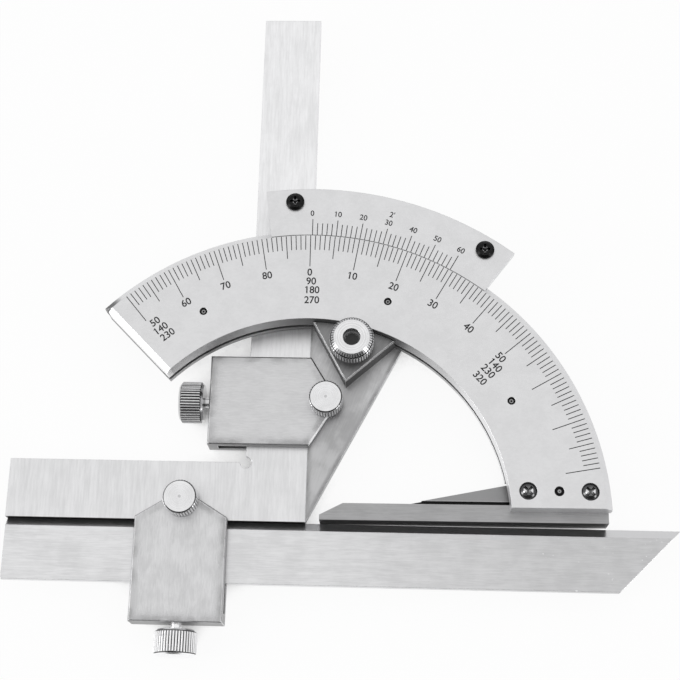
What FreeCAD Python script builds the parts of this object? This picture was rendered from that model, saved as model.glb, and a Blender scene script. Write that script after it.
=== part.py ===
import FreeCAD, Part
import Sketcher
import math
import os
from types import SimpleNamespace

# Universal bevel protractor with square, straightedge, two clamps and a geared fine adjustment.
# Millimetres and degrees. The origin is the vertex, which the sector swings about, in the back
# plane of the rules. +Z comes out of the scale's face and +Y points at the scale's zero.
# Angles on the scale count clockwise from +Y, as on the instrument.

SIZES = {
    # Reading and range of the instrument
    "reading": 1 / 3,
    "swing_limit": 49.6,
    # Levels above the back plane of the rules
    "rule_thick": 2.8,
    "sector_thick": 3.0,
    "swing_gap": 0.1,
    "ring_thick": 4.0,
    "scale_thick": 6.0,
    "fit_gap": 0.05,
    "slide_gap": 0.02,
    # Main scale plate
    "scale_outer": 88.0,
    "scale_width": 28.7,
    "bevel_width": 2.0,
    "bevel_depth": 2.2,
    "scale_left_end": 44.7,
    "end_bevel": 1.6,
    "scale_foot": 3.1,
    # Toothed ring behind the scale
    "ring_setback": 1.6,
    "ring_teeth": 216,
    "pinion_teeth": 12,
    "tooth_shift": 0.3,
    "backlash": 0.08,
    "groove_depth": 3.0,
    "ledge_thick": 2.0,
    "ring_screw_inset": 9.7,
    "ring_screw_bore": 1.15,
    "ring_screw_head": 2.3,
    "ring_screw_recess": 0.4,
    # Base rule with its ear and boss
    "base_left": 4.2,
    "base_end_gap": 0.7,
    "base_width": 5.0,
    "base_nose": 1.5,
    "base_nose_length": 6.8,
    "relief_width": 1.7,
    "relief_depth": 1.4,
    "ear_angle": 78.8,
    "boss_inset": 0.7,
    "boss_top": 12.0,
    # Screws and dowel at the scale's foot
    "foot_screw_row": 8.0,
    "foot_screw_inner_inset": 4.7,
    "foot_screw_outer_inset": 6.4,
    "foot_screw_bore": 1.5,
    "foot_screw_head": 2.5,
    "foot_screw_crown": 1.3,
    "foot_screw_sink": 1.0,
    "foot_screw_dome": 0.5,
    "foot_screw_end": 1.5,
    "foot_dowel_radius": 1.4,
    # Cross recess in the heads that show
    "cross_length": 3.2,
    "cross_width": 0.8,
    "cross_depth": 0.9,
    # Sector plate
    "sector_span": 27.5,
    "carrier_band": 12.5,
    "carrier_left": 6.5,
    "carrier_right": 35.5,
    # Vernier plate and its screws
    "vernier_left": 8.3,
    "vernier_right": 37.1,
    "vernier_lip": 0.8,
    "vernier_thick": 2.2,
    "vernier_gap": 0.12,
    "vernier_screw_inset": 4.3,
    "vernier_screw_left": 3.3,
    "vernier_screw_right": 32.6,
    "vernier_screw_bore": 1.4,
    "vernier_screw_head": 2.8,
    "vernier_screw_crown": 2.0,
    "vernier_screw_rise": 1.2,
    "vernier_screw_length": 8.0,
    # Screws and dowels between the carrier and the sector plate
    "carrier_screw_inset": 5.5,
    "carrier_screw_left": 4.0,
    "carrier_screw_right": 26.0,
    "carrier_screw_bore": 1.25,
    "carrier_screw_head": 2.5,
    "carrier_screw_length": 8.0,
    "carrier_dowel_inset": 3.0,
    "carrier_dowel_left": 7.2,
    "carrier_dowel_right": 21.8,
    "carrier_dowel_radius": 1.0,
    "carrier_dowel_length": 7.0,
    # Pinion, bush and adjusting knob
    "pinion_angle": 14.4,
    "pinion_width": 3.6,
    "pinion_lift": 0.3,
    "pocket_gap": 0.4,
    "pivot_radius": 1.6,
    "pivot_length": 2.4,
    "shaft_radius": 2.0,
    "bush_radius": 3.5,
    "bush_flange": 4.6,
    "bush_flange_thick": 0.7,
    "knob_radius": 7.0,
    "knob_thick": 3.8,
    "knob_gap": 0.3,
    "knob_edge": 0.5,
    "knob_screw_bore": 0.9,
    "knob_screw_head": 1.8,
    "knob_screw_length": 3.4,
    # Lock stud, lock block, collar and lock nut
    "lock_inset": 5.75,
    "lock_angle": 13.83,
    "stud_radius": 2.0,
    "stud_head": 3.7,
    "lock_stud_proud": 0.2,
    "block_left": 0.8,
    "block_right": 25.5,
    "block_tip_left": 1.8,
    "block_tip_drop": 11.3,
    "block_top": 10.1,
    "block_gap": 0.1,
    "tongue_margin": 2.5,
    "tongue_gap": 0.15,
    "lock_collar_radius": 4.5,
    "lock_collar_height": 3.3,
    "lock_flange_radius": 6.55,
    "lock_flange_height": 3.6,
    "lock_cap_radius": 5.2,
    "lock_cap_height": 1.6,
    "lock_mouth_radius": 2.6,
    "lock_mouth_depth": 3.4,
    # Clamp blocks
    "clamp_width": 27.2,
    "clamp_front": 0.5,
    "clamp_roof": 8.4,
    "clamp_wall": 3.0,
    "clamp_face_thick": 2.4,
    "clamp_rear_thick": 2.5,
    "channel_gap": 0.2,
    "clamp_stud_place": 5.3,
    "stud_room": 0.4,
    "clamp_1_gap": 1.522,
    "clamp_2_place": 36.2,
    "clamp_edge": 0.4,
    # Straight knurl of every nut and knob
    "knurl_pitch": 0.87,
    "knurl_depth": 0.28,
    # Clamp nuts
    "nut_radius": 5.0,
    "nut_face_radius": 4.55,
    "nut_height": 5.5,
    "nut_roof": 0.8,
    "nut_edge": 0.45,
    # Side screws and pressure pads
    "screw_radius": 1.55,
    "screw_bore": 1.6,
    "screw_head_radius": 6.25,
    "screw_head_length": 7.3,
    "screw_head_round": 0.9,
    "screw_exposed": 1.8,
    "pad_length": 6.6,
    "pad_width": 16.0,
    "pad_room": 2.0,
    "pad_socket": 2.5,
    "tip_radius": 0.9,
    # Square and straightedge, which the same clamps take
    "rule_width": 18.2,
    "short_arm_width": 17.5,
    "long_arm_end": 166.0,
    "short_arm_end": 88.7,
    "relief_radius": 1.8,
    "straightedge_left": 88.4,
    "straightedge_right": 108.6,
    "edge_bevel_width": 2.5,
    "edge_bevel_depth": 2.2,
}

RING_SCREW_ANGLES = (-27.3, 20.0, 60.0)
PRESSURE_ANGLE = math.radians(20.0)
SPARE_TEETH = 4

doc = FreeCAD.newDocument("bevel_protractor")
sheet = doc.addObject("Spreadsheet::Sheet", "dims")
for row, (alias, number) in enumerate(SIZES.items(), start=1):
    sheet.set(f"A{row}", alias)
    sheet.set(f"B{row}", repr(float(number)))
    sheet.setAlias(f"B{row}", alias)
doc.recompute()

nodes = {}


class Size:
    """A number together with the spreadsheet expression that it comes from."""

    def __init__(self, value, text):
        self.value = float(value)
        self.text = text

    def __add__(self, other):
        other = as_size(other)
        return Size(self.value + other.value, f"({self.text} + {other.text})")

    def __sub__(self, other):
        other = as_size(other)
        return Size(self.value - other.value, f"({self.text} - {other.text})")

    def __mul__(self, other):
        other = as_size(other)
        return Size(self.value * other.value, f"({self.text} * {other.text})")

    def __truediv__(self, other):
        other = as_size(other)
        return Size(self.value / other.value, f"({self.text} / {other.text})")

    def __neg__(self):
        return Size(-self.value, f"(0 - {self.text})")


def as_size(number):
    """The number as a Size, if it isn't one yet."""
    return number if isinstance(number, Size) else Size(number, f"{float(number):.9g}")


def sine(angle):
    return Size(math.sin(math.radians(angle.value)), f"sin({angle.text} * 1 deg)")


def cosine(angle):
    return Size(math.cos(math.radians(angle.value)), f"cos({angle.text} * 1 deg)")


def other_leg(long_side, leg):
    """Second short side of a right triangle, such as a circle's x at a given y."""
    square_left = long_side * long_side - leg * leg
    return Size(math.sqrt(square_left.value), f"sqrt{square_left.text}")


def on_scale(radius, angle):
    """Point at a radius and a scale angle, clockwise from +Y."""
    return radius * sine(angle), radius * cosine(angle)


d = SimpleNamespace(**{alias: Size(number, f"dims.{alias}") for alias, number in SIZES.items()})
ZERO = as_size(0)

# Levels and radii that follow from the sizes
ring_base = d.sector_thick + d.swing_gap
scale_base = ring_base + d.ring_thick
scale_face = scale_base + d.scale_thick
carrier_top = scale_face - d.vernier_thick
scale_inner = d.scale_outer - d.scale_width
carrier_inner = d.scale_outer + d.swing_gap
sector_outer = d.scale_outer + d.carrier_band
vernier_outer = sector_outer + d.vernier_lip
pitch_radius = d.scale_outer - d.ring_setback
gear_module = pitch_radius * 2 / d.ring_teeth
pinion_pitch_radius = gear_module * d.pinion_teeth / 2
pinion_orbit = pitch_radius + pinion_pitch_radius
ring_tip = pitch_radius + gear_module * (as_size(1) - d.tooth_shift)
ring_root = pitch_radius - gear_module * (as_size(1.25) + d.tooth_shift)
pinion_tip = pinion_pitch_radius + gear_module * (as_size(1) + d.tooth_shift)
pinion_root = pinion_pitch_radius - gear_module * (as_size(1.25) - d.tooth_shift)
groove_base = ring_base + d.ledge_thick
channel_base = -d.channel_gap
channel_top = ring_base
clamp_face = channel_top + d.clamp_face_thick
clamp_rear = channel_base - d.clamp_rear_thick
pad_thick = channel_top - d.channel_gap
screw_level = pad_thick / 2
nut_crown = clamp_face + d.nut_height
clamp_stud_top = nut_crown - d.nut_roof - d.stud_room
lock_flange = d.block_top + d.lock_collar_height
lock_shoulder = lock_flange + d.lock_flange_height
lock_crown = lock_shoulder + d.lock_cap_height
lock_mouth_floor = lock_crown - d.lock_mouth_depth

# Bores that fasteners and studs pass through
foot_screw_hole = d.foot_screw_bore + d.fit_gap
foot_dowel_hole = d.foot_dowel_radius + d.slide_gap
ring_screw_hole = d.ring_screw_bore + d.slide_gap
carrier_screw_hole = d.carrier_screw_bore + d.slide_gap
carrier_dowel_hole = d.carrier_dowel_radius + d.slide_gap
vernier_screw_hole = d.vernier_screw_bore + d.slide_gap
stud_hole = d.stud_radius + d.fit_gap
vernier_screw_end = scale_face - d.vernier_screw_length

# Places that follow from the sizes
base_right = d.scale_outer - d.base_end_gap
boss_left = scale_inner + d.boss_inset
lock_place = on_scale(scale_inner - d.lock_inset, d.lock_angle)
clamp_back = d.rule_width + d.pad_length + d.pad_room + d.clamp_wall
clamp_1_corner = other_leg(scale_inner - d.clamp_1_gap, clamp_back)
clamp_1_place = clamp_1_corner - d.clamp_width / 2


def bind(item, name, size):
    """Give a property its value and tie it to the spreadsheet."""
    size = as_size(size)
    setattr(item, name, size.value)
    item.setExpression(name, size.text)


def plane_of(body, role):
    return next(feature for feature in body.Origin.OriginFeatures if feature.Role == role)


def new_body(label):
    body = doc.addObject("PartDesign::Body", label)
    body.Label = label
    return body


def new_sketch(body, name, role="XY_Plane", level=ZERO):
    """Sketch on one of the body's own origin planes, raised by a level."""
    sketch = body.newObject("Sketcher::SketchObject", name)
    sketch.AttachmentSupport = [(plane_of(body, role), "")]
    sketch.MapMode = "FlatFace"
    sketch.AttachmentOffset = FreeCAD.Placement(FreeCAD.Vector(0, 0, level.value), FreeCAD.Rotation())
    sketch.setExpression("AttachmentOffset.Base.z", level.text)
    return sketch


def fix_point(sketch, curve, end, x, y):
    """Hold a point of a curve at x, y from the sketch's origin."""
    for kind, axis, size in (("DistanceX", -2, as_size(x)), ("DistanceY", -1, as_size(y))):
        if abs(size.value) < 1e-9:
            sketch.addConstraint(Sketcher.Constraint("PointOnObject", curve, end, axis))
        else:
            index = sketch.addConstraint(Sketcher.Constraint(kind, -1, 1, curve, end, size.value))
            sketch.setExpression(f"Constraints[{index}]", size.text)


def arc_between(start, finish, radius):
    """The short arc from start to finish, anticlockwise for a positive radius."""
    chord = finish - start
    middle = (start + finish) * 0.5
    left = FreeCAD.Vector(-chord.y, chord.x, 0).normalize()
    side = math.copysign(1.0, radius)
    centre = middle + left * side * math.sqrt(radius * radius - chord.Length * chord.Length / 4)
    circle = Part.Circle(centre, FreeCAD.Vector(0, 0, 1), abs(radius))
    first, last = (start, finish) if radius > 0 else (finish, start)
    angles = [math.atan2(point.y - centre.y, point.x - centre.x) for point in (first, last)]
    if angles[1] < angles[0]:
        angles[1] += 2 * math.pi
    return Part.ArcOfCircle(circle, angles[0], angles[1])


def draw(sketch, corners):
    """Closed outline of corners (x, y) or (x, y, radius of the arc to the next corner)."""
    points = [FreeCAD.Vector(as_size(c[0]).value, as_size(c[1]).value, 0) for c in corners]
    curves = []
    starts = []
    for number, corner in enumerate(corners):
        start = points[number]
        finish = points[(number + 1) % len(points)]
        radius = corner[2] if len(corner) > 2 else None
        if radius is None:
            curve = sketch.addGeometry(Part.LineSegment(start, finish), False)
            starts.append(1)
        else:
            curve = sketch.addGeometry(arc_between(start, finish, radius.value), False)
            starts.append(1 if radius.value > 0 else 2)
        curves.append(curve)
    for number, corner in enumerate(corners):
        fix_point(sketch, curves[number], starts[number], corner[0], corner[1])
        before = number - 1
        sketch.addConstraint(Sketcher.Constraint(
            "Coincident", curves[before], 3 - starts[before], curves[number], starts[number]))
        if len(corner) > 2:
            radius = corner[2] if corner[2].value > 0 else -corner[2]
            index = sketch.addConstraint(Sketcher.Constraint("Radius", curves[number], radius.value))
            sketch.setExpression(f"Constraints[{index}]", radius.text)
    return sketch


def draw_circle(sketch, x, y, radius):
    centre = FreeCAD.Vector(as_size(x).value, as_size(y).value, 0)
    curve = sketch.addGeometry(Part.Circle(centre, FreeCAD.Vector(0, 0, 1), radius.value), False)
    fix_point(sketch, curve, 3, x, y)
    index = sketch.addConstraint(Sketcher.Constraint("Radius", curve, radius.value))
    sketch.setExpression(f"Constraints[{index}]", radius.text)
    return sketch


def pad(body, name, corners, base, top):
    """Solid between two levels with the outline of the corners."""
    sketch = draw(new_sketch(body, name + "_outline", level=base), corners)
    feature = body.newObject("PartDesign::Pad", name)
    feature.Profile = sketch
    bind(feature, "Length", top - base)
    doc.recompute()
    return feature


def cut(body, name, sketch, depth):
    """Pocket from a sketch towards -Z; it has to take material away."""
    before = body.Shape.Volume
    feature = body.newObject("PartDesign::Pocket", name)
    feature.Profile = sketch
    bind(feature, "Length", depth)
    doc.recompute()
    if body.Shape.Volume >= before - 1e-6:
        raise RuntimeError(f"{body.Label}: {name} takes nothing away")
    return feature


def pocket(body, name, corners, top, depth):
    return cut(body, name, draw(new_sketch(body, name + "_outline", level=top), corners), depth)


def drill(body, name, places, radius, base, top):
    """Round holes of one radius between two levels."""
    sketch = new_sketch(body, name + "_circles", level=top)
    for x, y in places:
        draw_circle(sketch, x, y, radius)
    return cut(body, name, sketch, top - base)


def turn(body, name, corners):
    """Solid of revolution about the body's Z axis; corners are (radius, level)."""
    sketch = draw(new_sketch(body, name + "_profile", role="XZ_Plane"), corners)
    feature = body.newObject("PartDesign::Revolution", name)
    feature.Profile = sketch
    feature.ReferenceAxis = (sketch, ["V_Axis"])
    feature.Angle = 360
    doc.recompute()
    return feature


def groove(body, name, corners):
    """Ring-shaped cut about the body's Z axis; it has to take material away."""
    before = body.Shape.Volume
    sketch = draw(new_sketch(body, name + "_profile", role="XZ_Plane"), corners)
    feature = body.newObject("PartDesign::Groove", name)
    feature.Profile = sketch
    feature.ReferenceAxis = (sketch, ["V_Axis"])
    feature.Angle = 360
    doc.recompute()
    if body.Shape.Volume >= before - 1e-6:
        raise RuntimeError(f"{body.Label}: {name} takes nothing away")
    return feature


def countersink(body, name, place, head, bore, base=ZERO):
    """Conical seat for a flat head, opening at the base level of a plate."""
    mouth = head + d.slide_gap
    depth = head - bore
    before = body.Shape.Volume
    sketch = draw_circle(new_sketch(body, name + "_mouth", level=base), *place, mouth)
    floor = draw_circle(new_sketch(body, name + "_floor", level=base + depth), *place, bore + d.slide_gap)
    feature = body.newObject("PartDesign::SubtractiveLoft", name)
    feature.Profile = sketch
    feature.Sections = [floor]
    doc.recompute()
    if body.Shape.Volume >= before - 1e-6:
        raise RuntimeError(f"{body.Label}: {name} takes nothing away")
    return feature


def knurl(body, name, radius, top, height):
    """Straight knurl: V-shaped flutes round a rim of the body's Z axis, down from a level."""
    before = body.Shape.Volume
    mouth = radius + d.knurl_depth
    sketch = draw(new_sketch(body, name + "_flute", level=top), [
        (ZERO, radius - d.knurl_depth),
        (d.knurl_depth * 2, mouth),
        (-d.knurl_depth * 2, mouth),
    ])
    flute = cut(body, name, sketch, height)
    pattern = body.newObject("PartDesign::PolarPattern", name + "_round")
    pattern.Originals = [flute]
    pattern.Axis = (sketch, ["N_Axis"])
    pattern.Angle = 360
    pattern.Occurrences = round(2 * math.pi * radius.value / d.knurl_pitch.value)
    body.Tip = pattern
    doc.recompute()
    one_flute = before - flute.Shape.Volume
    if body.Shape.Volume > before - one_flute * (pattern.Occurrences - 1):
        raise RuntimeError(f"{body.Label}: {name} lacks flutes")
    return pattern


def chamfer_outline(body, name, level, size, left_only=False):
    """Chamfer along the straight edges that lie at one level, or along those left of the axis."""
    base = body.Tip
    edges = []
    for number, edge in enumerate(base.Shape.Edges, start=1):
        flat = all(abs(vertex.Z - level.value) < 1e-6 for vertex in edge.Vertexes)
        meant = not left_only or all(vertex.X < 0 for vertex in edge.Vertexes)
        if flat and meant and isinstance(edge.Curve, Part.Line):
            edges.append(f"Edge{number}")
    feature = body.newObject("PartDesign::Chamfer", name)
    feature.Base = (base, edges)
    bind(feature, "Size", size)
    doc.recompute()
    return feature


def cross_recess(body, top):
    """Cross for the screwdriver, cut into a head's crown."""
    arm = d.cross_length / 2
    side = d.cross_width / 2
    pocket(body, "cross_recess", [
        (side, side), (side, arm), (-side, arm), (-side, side),
        (-arm, side), (-arm, -side), (-side, -side), (-side, -arm),
        (side, -arm), (side, -side), (arm, -side), (arm, side),
    ], top, d.cross_depth)


def cylinder(name, radius, base, top, x=ZERO, y=ZERO):
    """Upright cylinder between two levels, tied to the spreadsheet."""
    item = doc.addObject("Part::Cylinder", name)
    bind(item, "Radius", radius)
    bind(item, "Height", as_size(top) - base)
    for axis, size in (("x", as_size(x)), ("y", as_size(y)), ("z", as_size(base))):
        item.setExpression(f"Placement.Base.{axis}", size.text)
    doc.recompute()
    return item


def cone(name, wide, narrow, base, top, x=ZERO, y=ZERO):
    """Upright cone, such as a countersunk head's seat, wide end at the base."""
    item = doc.addObject("Part::Cone", name)
    bind(item, "Radius1", wide)
    bind(item, "Radius2", narrow)
    bind(item, "Height", as_size(top) - base)
    for axis, size in (("x", as_size(x)), ("y", as_size(y)), ("z", as_size(base))):
        item.setExpression(f"Placement.Base.{axis}", size.text)
    doc.recompute()
    return item


def subtract(label, base, tools):
    """Base without the tools, as a boolean feature."""
    gathered = doc.addObject("Part::Compound", label + "_tools")
    gathered.Links = tools
    item = doc.addObject("Part::Cut", label)
    item.Base = base
    item.Tool = gathered
    doc.recompute()
    return item


def group(label, pieces):
    """One node that holds several separate solids."""
    item = doc.addObject("Part::Compound", label)
    item.Links = pieces
    doc.recompute()
    return item


def keep(label, item):
    """Name the sub-part; its file takes this name."""
    item.Label = label
    nodes[label] = item
    return item


def at(x, y, z=ZERO, rotation=None):
    """Placement at a point, with an optional rotation."""
    place = FreeCAD.Vector(as_size(x).value, as_size(y).value, as_size(z).value)
    return FreeCAD.Placement(place, rotation or FreeCAD.Rotation())


def about_z(degrees):
    return FreeCAD.Rotation(FreeCAD.Vector(0, 0, 1), degrees)


ON_SECTOR = at(ZERO, ZERO, rotation=about_z(-d.reading.value))


def keep_on_sector(label, item, placement=None):
    """Sub-part that swings with the sector, turned to the reading."""
    item.Placement = ON_SECTOR * (placement or FreeCAD.Placement())
    return keep(label, item)


def ring_outline(inner, outer, left, right):
    """Outline of a ring's stretch between two scale angles."""
    return [
        on_scale(inner, left),
        (*on_scale(outer, left), -outer),
        on_scale(outer, right),
        (*on_scale(inner, right), inner),
    ]


def countersunk_screw(name, shank, head, base, end):
    """Screw with its flat head at the base level, pointing up."""
    body = new_body(name)
    neck = base + (head - shank)
    turn(body, name + "_body", [(ZERO, base), (head, base), (shank, neck), (shank, end), (ZERO, end)])
    return body


# Gear teeth

def involute(angle):
    return math.tan(angle) - angle


def tooth_half_angle(radius, teeth, shift):
    """Half of a tooth's width as an angle, at a radius."""
    module = gear_module.value
    pitch = module * teeth / 2
    base = pitch * math.cos(PRESSURE_ANGLE)
    width = module * (math.pi / 2 + 2 * shift * math.tan(PRESSURE_ANGLE)) - d.backlash.value / 2
    local = math.acos(min(1.0, base / radius))
    return width / (2 * pitch) + involute(PRESSURE_ANGLE) - involute(local)


def flank_points(teeth, shift, root, tip, count):
    """Points (radius, half angle) of a tooth's flank from root to tip."""
    base = gear_module.value * teeth / 2 * math.cos(PRESSURE_ANGLE)
    start = max(root, base)
    radii = [start + (tip - start) * step / (count - 1) for step in range(count)]
    return [(radius, tooth_half_angle(radius, teeth, shift)) for radius in radii]


def polar_point(radius, angle):
    """Vector at a radius and an angle in radians, clockwise from +Y."""
    return FreeCAD.Vector(radius * math.sin(angle), radius * math.cos(angle), 0)


def arc_edge(radius, first, last):
    """Edge along a circle about the origin between two angles."""
    middle = polar_point(radius, (first + last) / 2)
    return Part.Arc(polar_point(radius, first), middle, polar_point(radius, last)).toShape()


def line_edge(start, finish):
    return Part.LineSegment(start, finish).toShape()


def curve_edge(points):
    curve = Part.BSplineCurve()
    curve.interpolate(points)
    return curve.toShape()


def tooth_edges(centre, flank, root):
    """Edges of one tooth: up one flank, over the tip and down the other."""
    rising = [polar_point(radius, centre - half) for radius, half in flank]
    falling = [polar_point(radius, centre + half) for radius, half in reversed(flank)]
    first_radius, first_half = flank[0]
    tip_radius, tip_half = flank[-1]
    edges = []
    if first_radius > root + 1e-6:
        edges.append(line_edge(polar_point(root, centre - first_half), rising[0]))
    edges.append(curve_edge(rising))
    edges.append(arc_edge(tip_radius, centre - tip_half, centre + tip_half))
    edges.append(curve_edge(falling))
    if first_radius > root + 1e-6:
        edges.append(line_edge(falling[-1], polar_point(root, centre + first_half)))
    return edges


def toothed_ring():
    """Ring blank with teeth along the stretch that the pinion rolls over."""
    teeth = SIZES["ring_teeth"]
    pitch = 2 * math.pi / teeth
    root = ring_root.value
    tip = ring_tip.value
    inner = scale_inner.value
    flank = flank_points(teeth, -d.tooth_shift.value, root, tip, 3)
    half_root = flank[0][1]
    half_tip = flank[-1][1]
    rolled = math.radians(d.swing_limit.value) / pitch
    gaps = math.ceil(rolled) + 2 * SPARE_TEETH
    first_gap = math.radians(d.pinion_angle.value) - SPARE_TEETH * pitch
    left = -math.radians(d.scale_left_end.value)
    foot = (d.boss_top + d.swing_gap).value
    right_outer = math.acos(foot / tip)
    right_inner = math.acos(foot / inner)
    edges = [line_edge(polar_point(inner, left), polar_point(tip, left))]
    edges.append(arc_edge(tip, left, first_gap - pitch / 2 + half_tip))
    for number in range(gaps):
        centre = first_gap + number * pitch
        down = [polar_point(radius, centre - pitch / 2 + half) for radius, half in reversed(flank)]
        up = [polar_point(radius, centre + pitch / 2 - half) for radius, half in flank]
        edges.append(curve_edge(down))
        edges.append(arc_edge(root, centre - pitch / 2 + half_root, centre + pitch / 2 - half_root))
        edges.append(curve_edge(up))
        end = centre + pitch / 2 + half_tip if number < gaps - 1 else right_outer
        edges.append(arc_edge(tip, centre + pitch / 2 - half_tip, end))
    edges.append(line_edge(polar_point(tip, right_outer), polar_point(inner, right_inner)))
    edges.append(arc_edge(inner, right_inner, left))
    face = Part.Face(Part.Wire(Part.__sortEdges__(edges)))
    solid = face.extrude(FreeCAD.Vector(0, 0, d.ring_thick.value))
    solid.translate(FreeCAD.Vector(0, 0, ring_base.value))
    return solid


def pinion_wheel():
    """Toothed wheel about the origin, one tooth pointing at -Y, towards the vertex."""
    teeth = SIZES["pinion_teeth"]
    pitch = 2 * math.pi / teeth
    root = pinion_root.value
    flank = flank_points(teeth, d.tooth_shift.value, root, pinion_tip.value, 6)
    half_root = flank[0][1]
    edges = []
    for number in range(teeth):
        centre = math.pi + number * pitch
        edges += tooth_edges(centre, flank, root)
        edges.append(arc_edge(root, centre + half_root, centre + pitch - half_root))
    face = Part.Face(Part.Wire(Part.__sortEdges__(edges)))
    solid = face.extrude(FreeCAD.Vector(0, 0, d.pinion_width.value))
    solid.translate(FreeCAD.Vector(0, 0, (ring_base + d.pinion_lift).value))
    return solid


# Main scale plate

def foot_screw_places():
    return [
        (scale_inner + d.foot_screw_inner_inset, d.foot_screw_row),
        (d.scale_outer - d.foot_screw_outer_inset, d.foot_screw_row),
    ]


def foot_dowel_place():
    left, right = foot_screw_places()
    return (left[0] + right[0]) / 2, d.foot_screw_row


def ring_screw_places():
    orbit = scale_inner + d.ring_screw_inset
    return [on_scale(orbit, as_size(angle)) for angle in RING_SCREW_ANGLES]


def make_main_scale_plate():
    body = new_body("main_scale_plate")
    left = -d.scale_left_end
    pad(body, "scale_blank", [
        on_scale(scale_inner, left),
        (*on_scale(d.scale_outer, left), -d.scale_outer),
        (other_leg(d.scale_outer, d.scale_foot), d.scale_foot),
        (other_leg(scale_inner, d.scale_foot), d.scale_foot, scale_inner),
    ], scale_base, scale_face)
    chamfer_outline(body, "end_bevel", scale_face, d.end_bevel, left_only=True)
    bevel_inner = d.scale_outer - d.bevel_width
    groove(body, "edge_bevel", [
        (bevel_inner, scale_face),
        (d.scale_outer, scale_face - d.bevel_depth),
        (d.scale_outer + d.bevel_width, scale_face - d.bevel_depth),
        (d.scale_outer + d.bevel_width, scale_face),
    ])
    screws = foot_screw_places()
    seat = scale_face - d.foot_screw_sink
    drill(body, "screw_holes", screws, foot_screw_hole, scale_base, scale_face)
    drill(body, "screw_seats", screws, d.foot_screw_head + d.fit_gap, seat, scale_face)
    drill(body, "dowel_hole", [foot_dowel_place()], foot_dowel_hole, scale_base, scale_face)
    drill(body, "ring_screw_holes", ring_screw_places(), ring_screw_hole, scale_base, scale_face)
    keep("main_scale_plate", body)


def make_rack_ring():
    blank = doc.addObject("Part::Feature", "toothed_ring")
    blank.Shape = toothed_ring()
    tools = [cylinder("lock_groove", scale_inner + d.groove_depth, groove_base, scale_base)]
    head = d.ring_screw_head + d.slide_gap
    neck = ring_base + head - ring_screw_hole
    for number, place in enumerate(ring_screw_places(), start=1):
        tools.append(cylinder(f"ring_screw_bore_{number}", ring_screw_hole, ring_base, scale_base, *place))
        tools.append(cone(f"ring_screw_seat_{number}", head, ring_screw_hole, ring_base, neck, *place))
    keep("rack_ring", subtract("rack_ring", blank, tools))


def make_ring_screws():
    screws = []
    end = scale_face - d.ring_screw_recess
    for number, place in enumerate(ring_screw_places(), start=1):
        name = f"ring_screw_{number}"
        screw = countersunk_screw(name, d.ring_screw_bore, d.ring_screw_head, ring_base, end)
        screw.Placement = at(*place)
        screws.append(screw)
    keep("rack_ring_screws", group("rack_ring_screws", screws))


# Base rule: the ear lies behind the sector's swing, the bar and the boss stand in front of it

def make_base_rule():
    body = new_body("base_rule")
    rim = d.scale_outer
    bar_end = (base_right, ZERO)
    nose_x = d.base_left + d.base_nose_length
    pad(body, "bar", [
        (d.base_left, ZERO),
        bar_end,
        (base_right, d.base_width),
        (nose_x, d.base_width),
        (d.base_left, d.base_nose),
    ], ring_base, scale_base)
    pad(body, "boss", [
        (boss_left, d.base_width / 2),
        (base_right, d.base_width / 2),
        (base_right, other_leg(rim, base_right)),
        (other_leg(rim, d.boss_top), d.boss_top),
        (boss_left, d.boss_top),
    ], ring_base, scale_base)
    ear_low = on_scale(d.base_left / sine(d.ear_angle), d.ear_angle)
    pad(body, "ear", [
        (d.base_left, ZERO),
        bar_end,
        (base_right, other_leg(rim, base_right), rim),
        on_scale(rim, d.ear_angle),
        ear_low,
    ], ZERO, ring_base)
    pocket(body, "relief_groove", [
        (nose_x, d.base_width),
        (boss_left, d.base_width),
        (boss_left, d.base_width + d.relief_width),
        (nose_x, d.base_width + d.relief_width),
    ], ring_base, d.relief_depth)
    drill(body, "screw_holes", foot_screw_places(), foot_screw_hole, d.foot_screw_end, scale_base)
    drill(body, "dowel_hole", [foot_dowel_place()], foot_dowel_hole, d.foot_screw_end, scale_base)
    keep("base_rule", body)


def make_foot_fasteners():
    seat = scale_face - d.foot_screw_sink
    rim = scale_face - d.foot_screw_dome
    crown = scale_face + d.foot_screw_dome
    screws = []
    for number, place in enumerate(foot_screw_places(), start=1):
        screw = new_body(f"foot_screw_{number}")
        turn(screw, "screw_body", [
            (ZERO, d.foot_screw_end),
            (d.foot_screw_bore, d.foot_screw_end),
            (d.foot_screw_bore, seat),
            (d.foot_screw_head, seat),
            (d.foot_screw_head, rim),
            (d.foot_screw_crown, crown),
            (ZERO, crown),
        ])
        cross_recess(screw, crown)
        screw.Placement = at(*place, rotation=about_z(45))
        screws.append(screw)
    keep("base_screws", group("base_screws", screws))
    dowel = cylinder("base_dowel", d.foot_dowel_radius, d.foot_screw_end, scale_face, *foot_dowel_place())
    keep("base_dowel", dowel)


# Sector with the vernier

def carrier_places(kind):
    """Places of the carrier's two screws or two dowels."""
    if kind == "screw":
        inset, angles = d.carrier_screw_inset, (d.carrier_screw_left, d.carrier_screw_right)
    else:
        inset, angles = d.carrier_dowel_inset, (d.carrier_dowel_left, d.carrier_dowel_right)
    return [on_scale(sector_outer - inset, angle) for angle in angles]


def vernier_screw_places():
    orbit = vernier_outer - d.vernier_screw_inset
    return [on_scale(orbit, -d.vernier_screw_left), on_scale(orbit, d.vernier_screw_right)]


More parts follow.
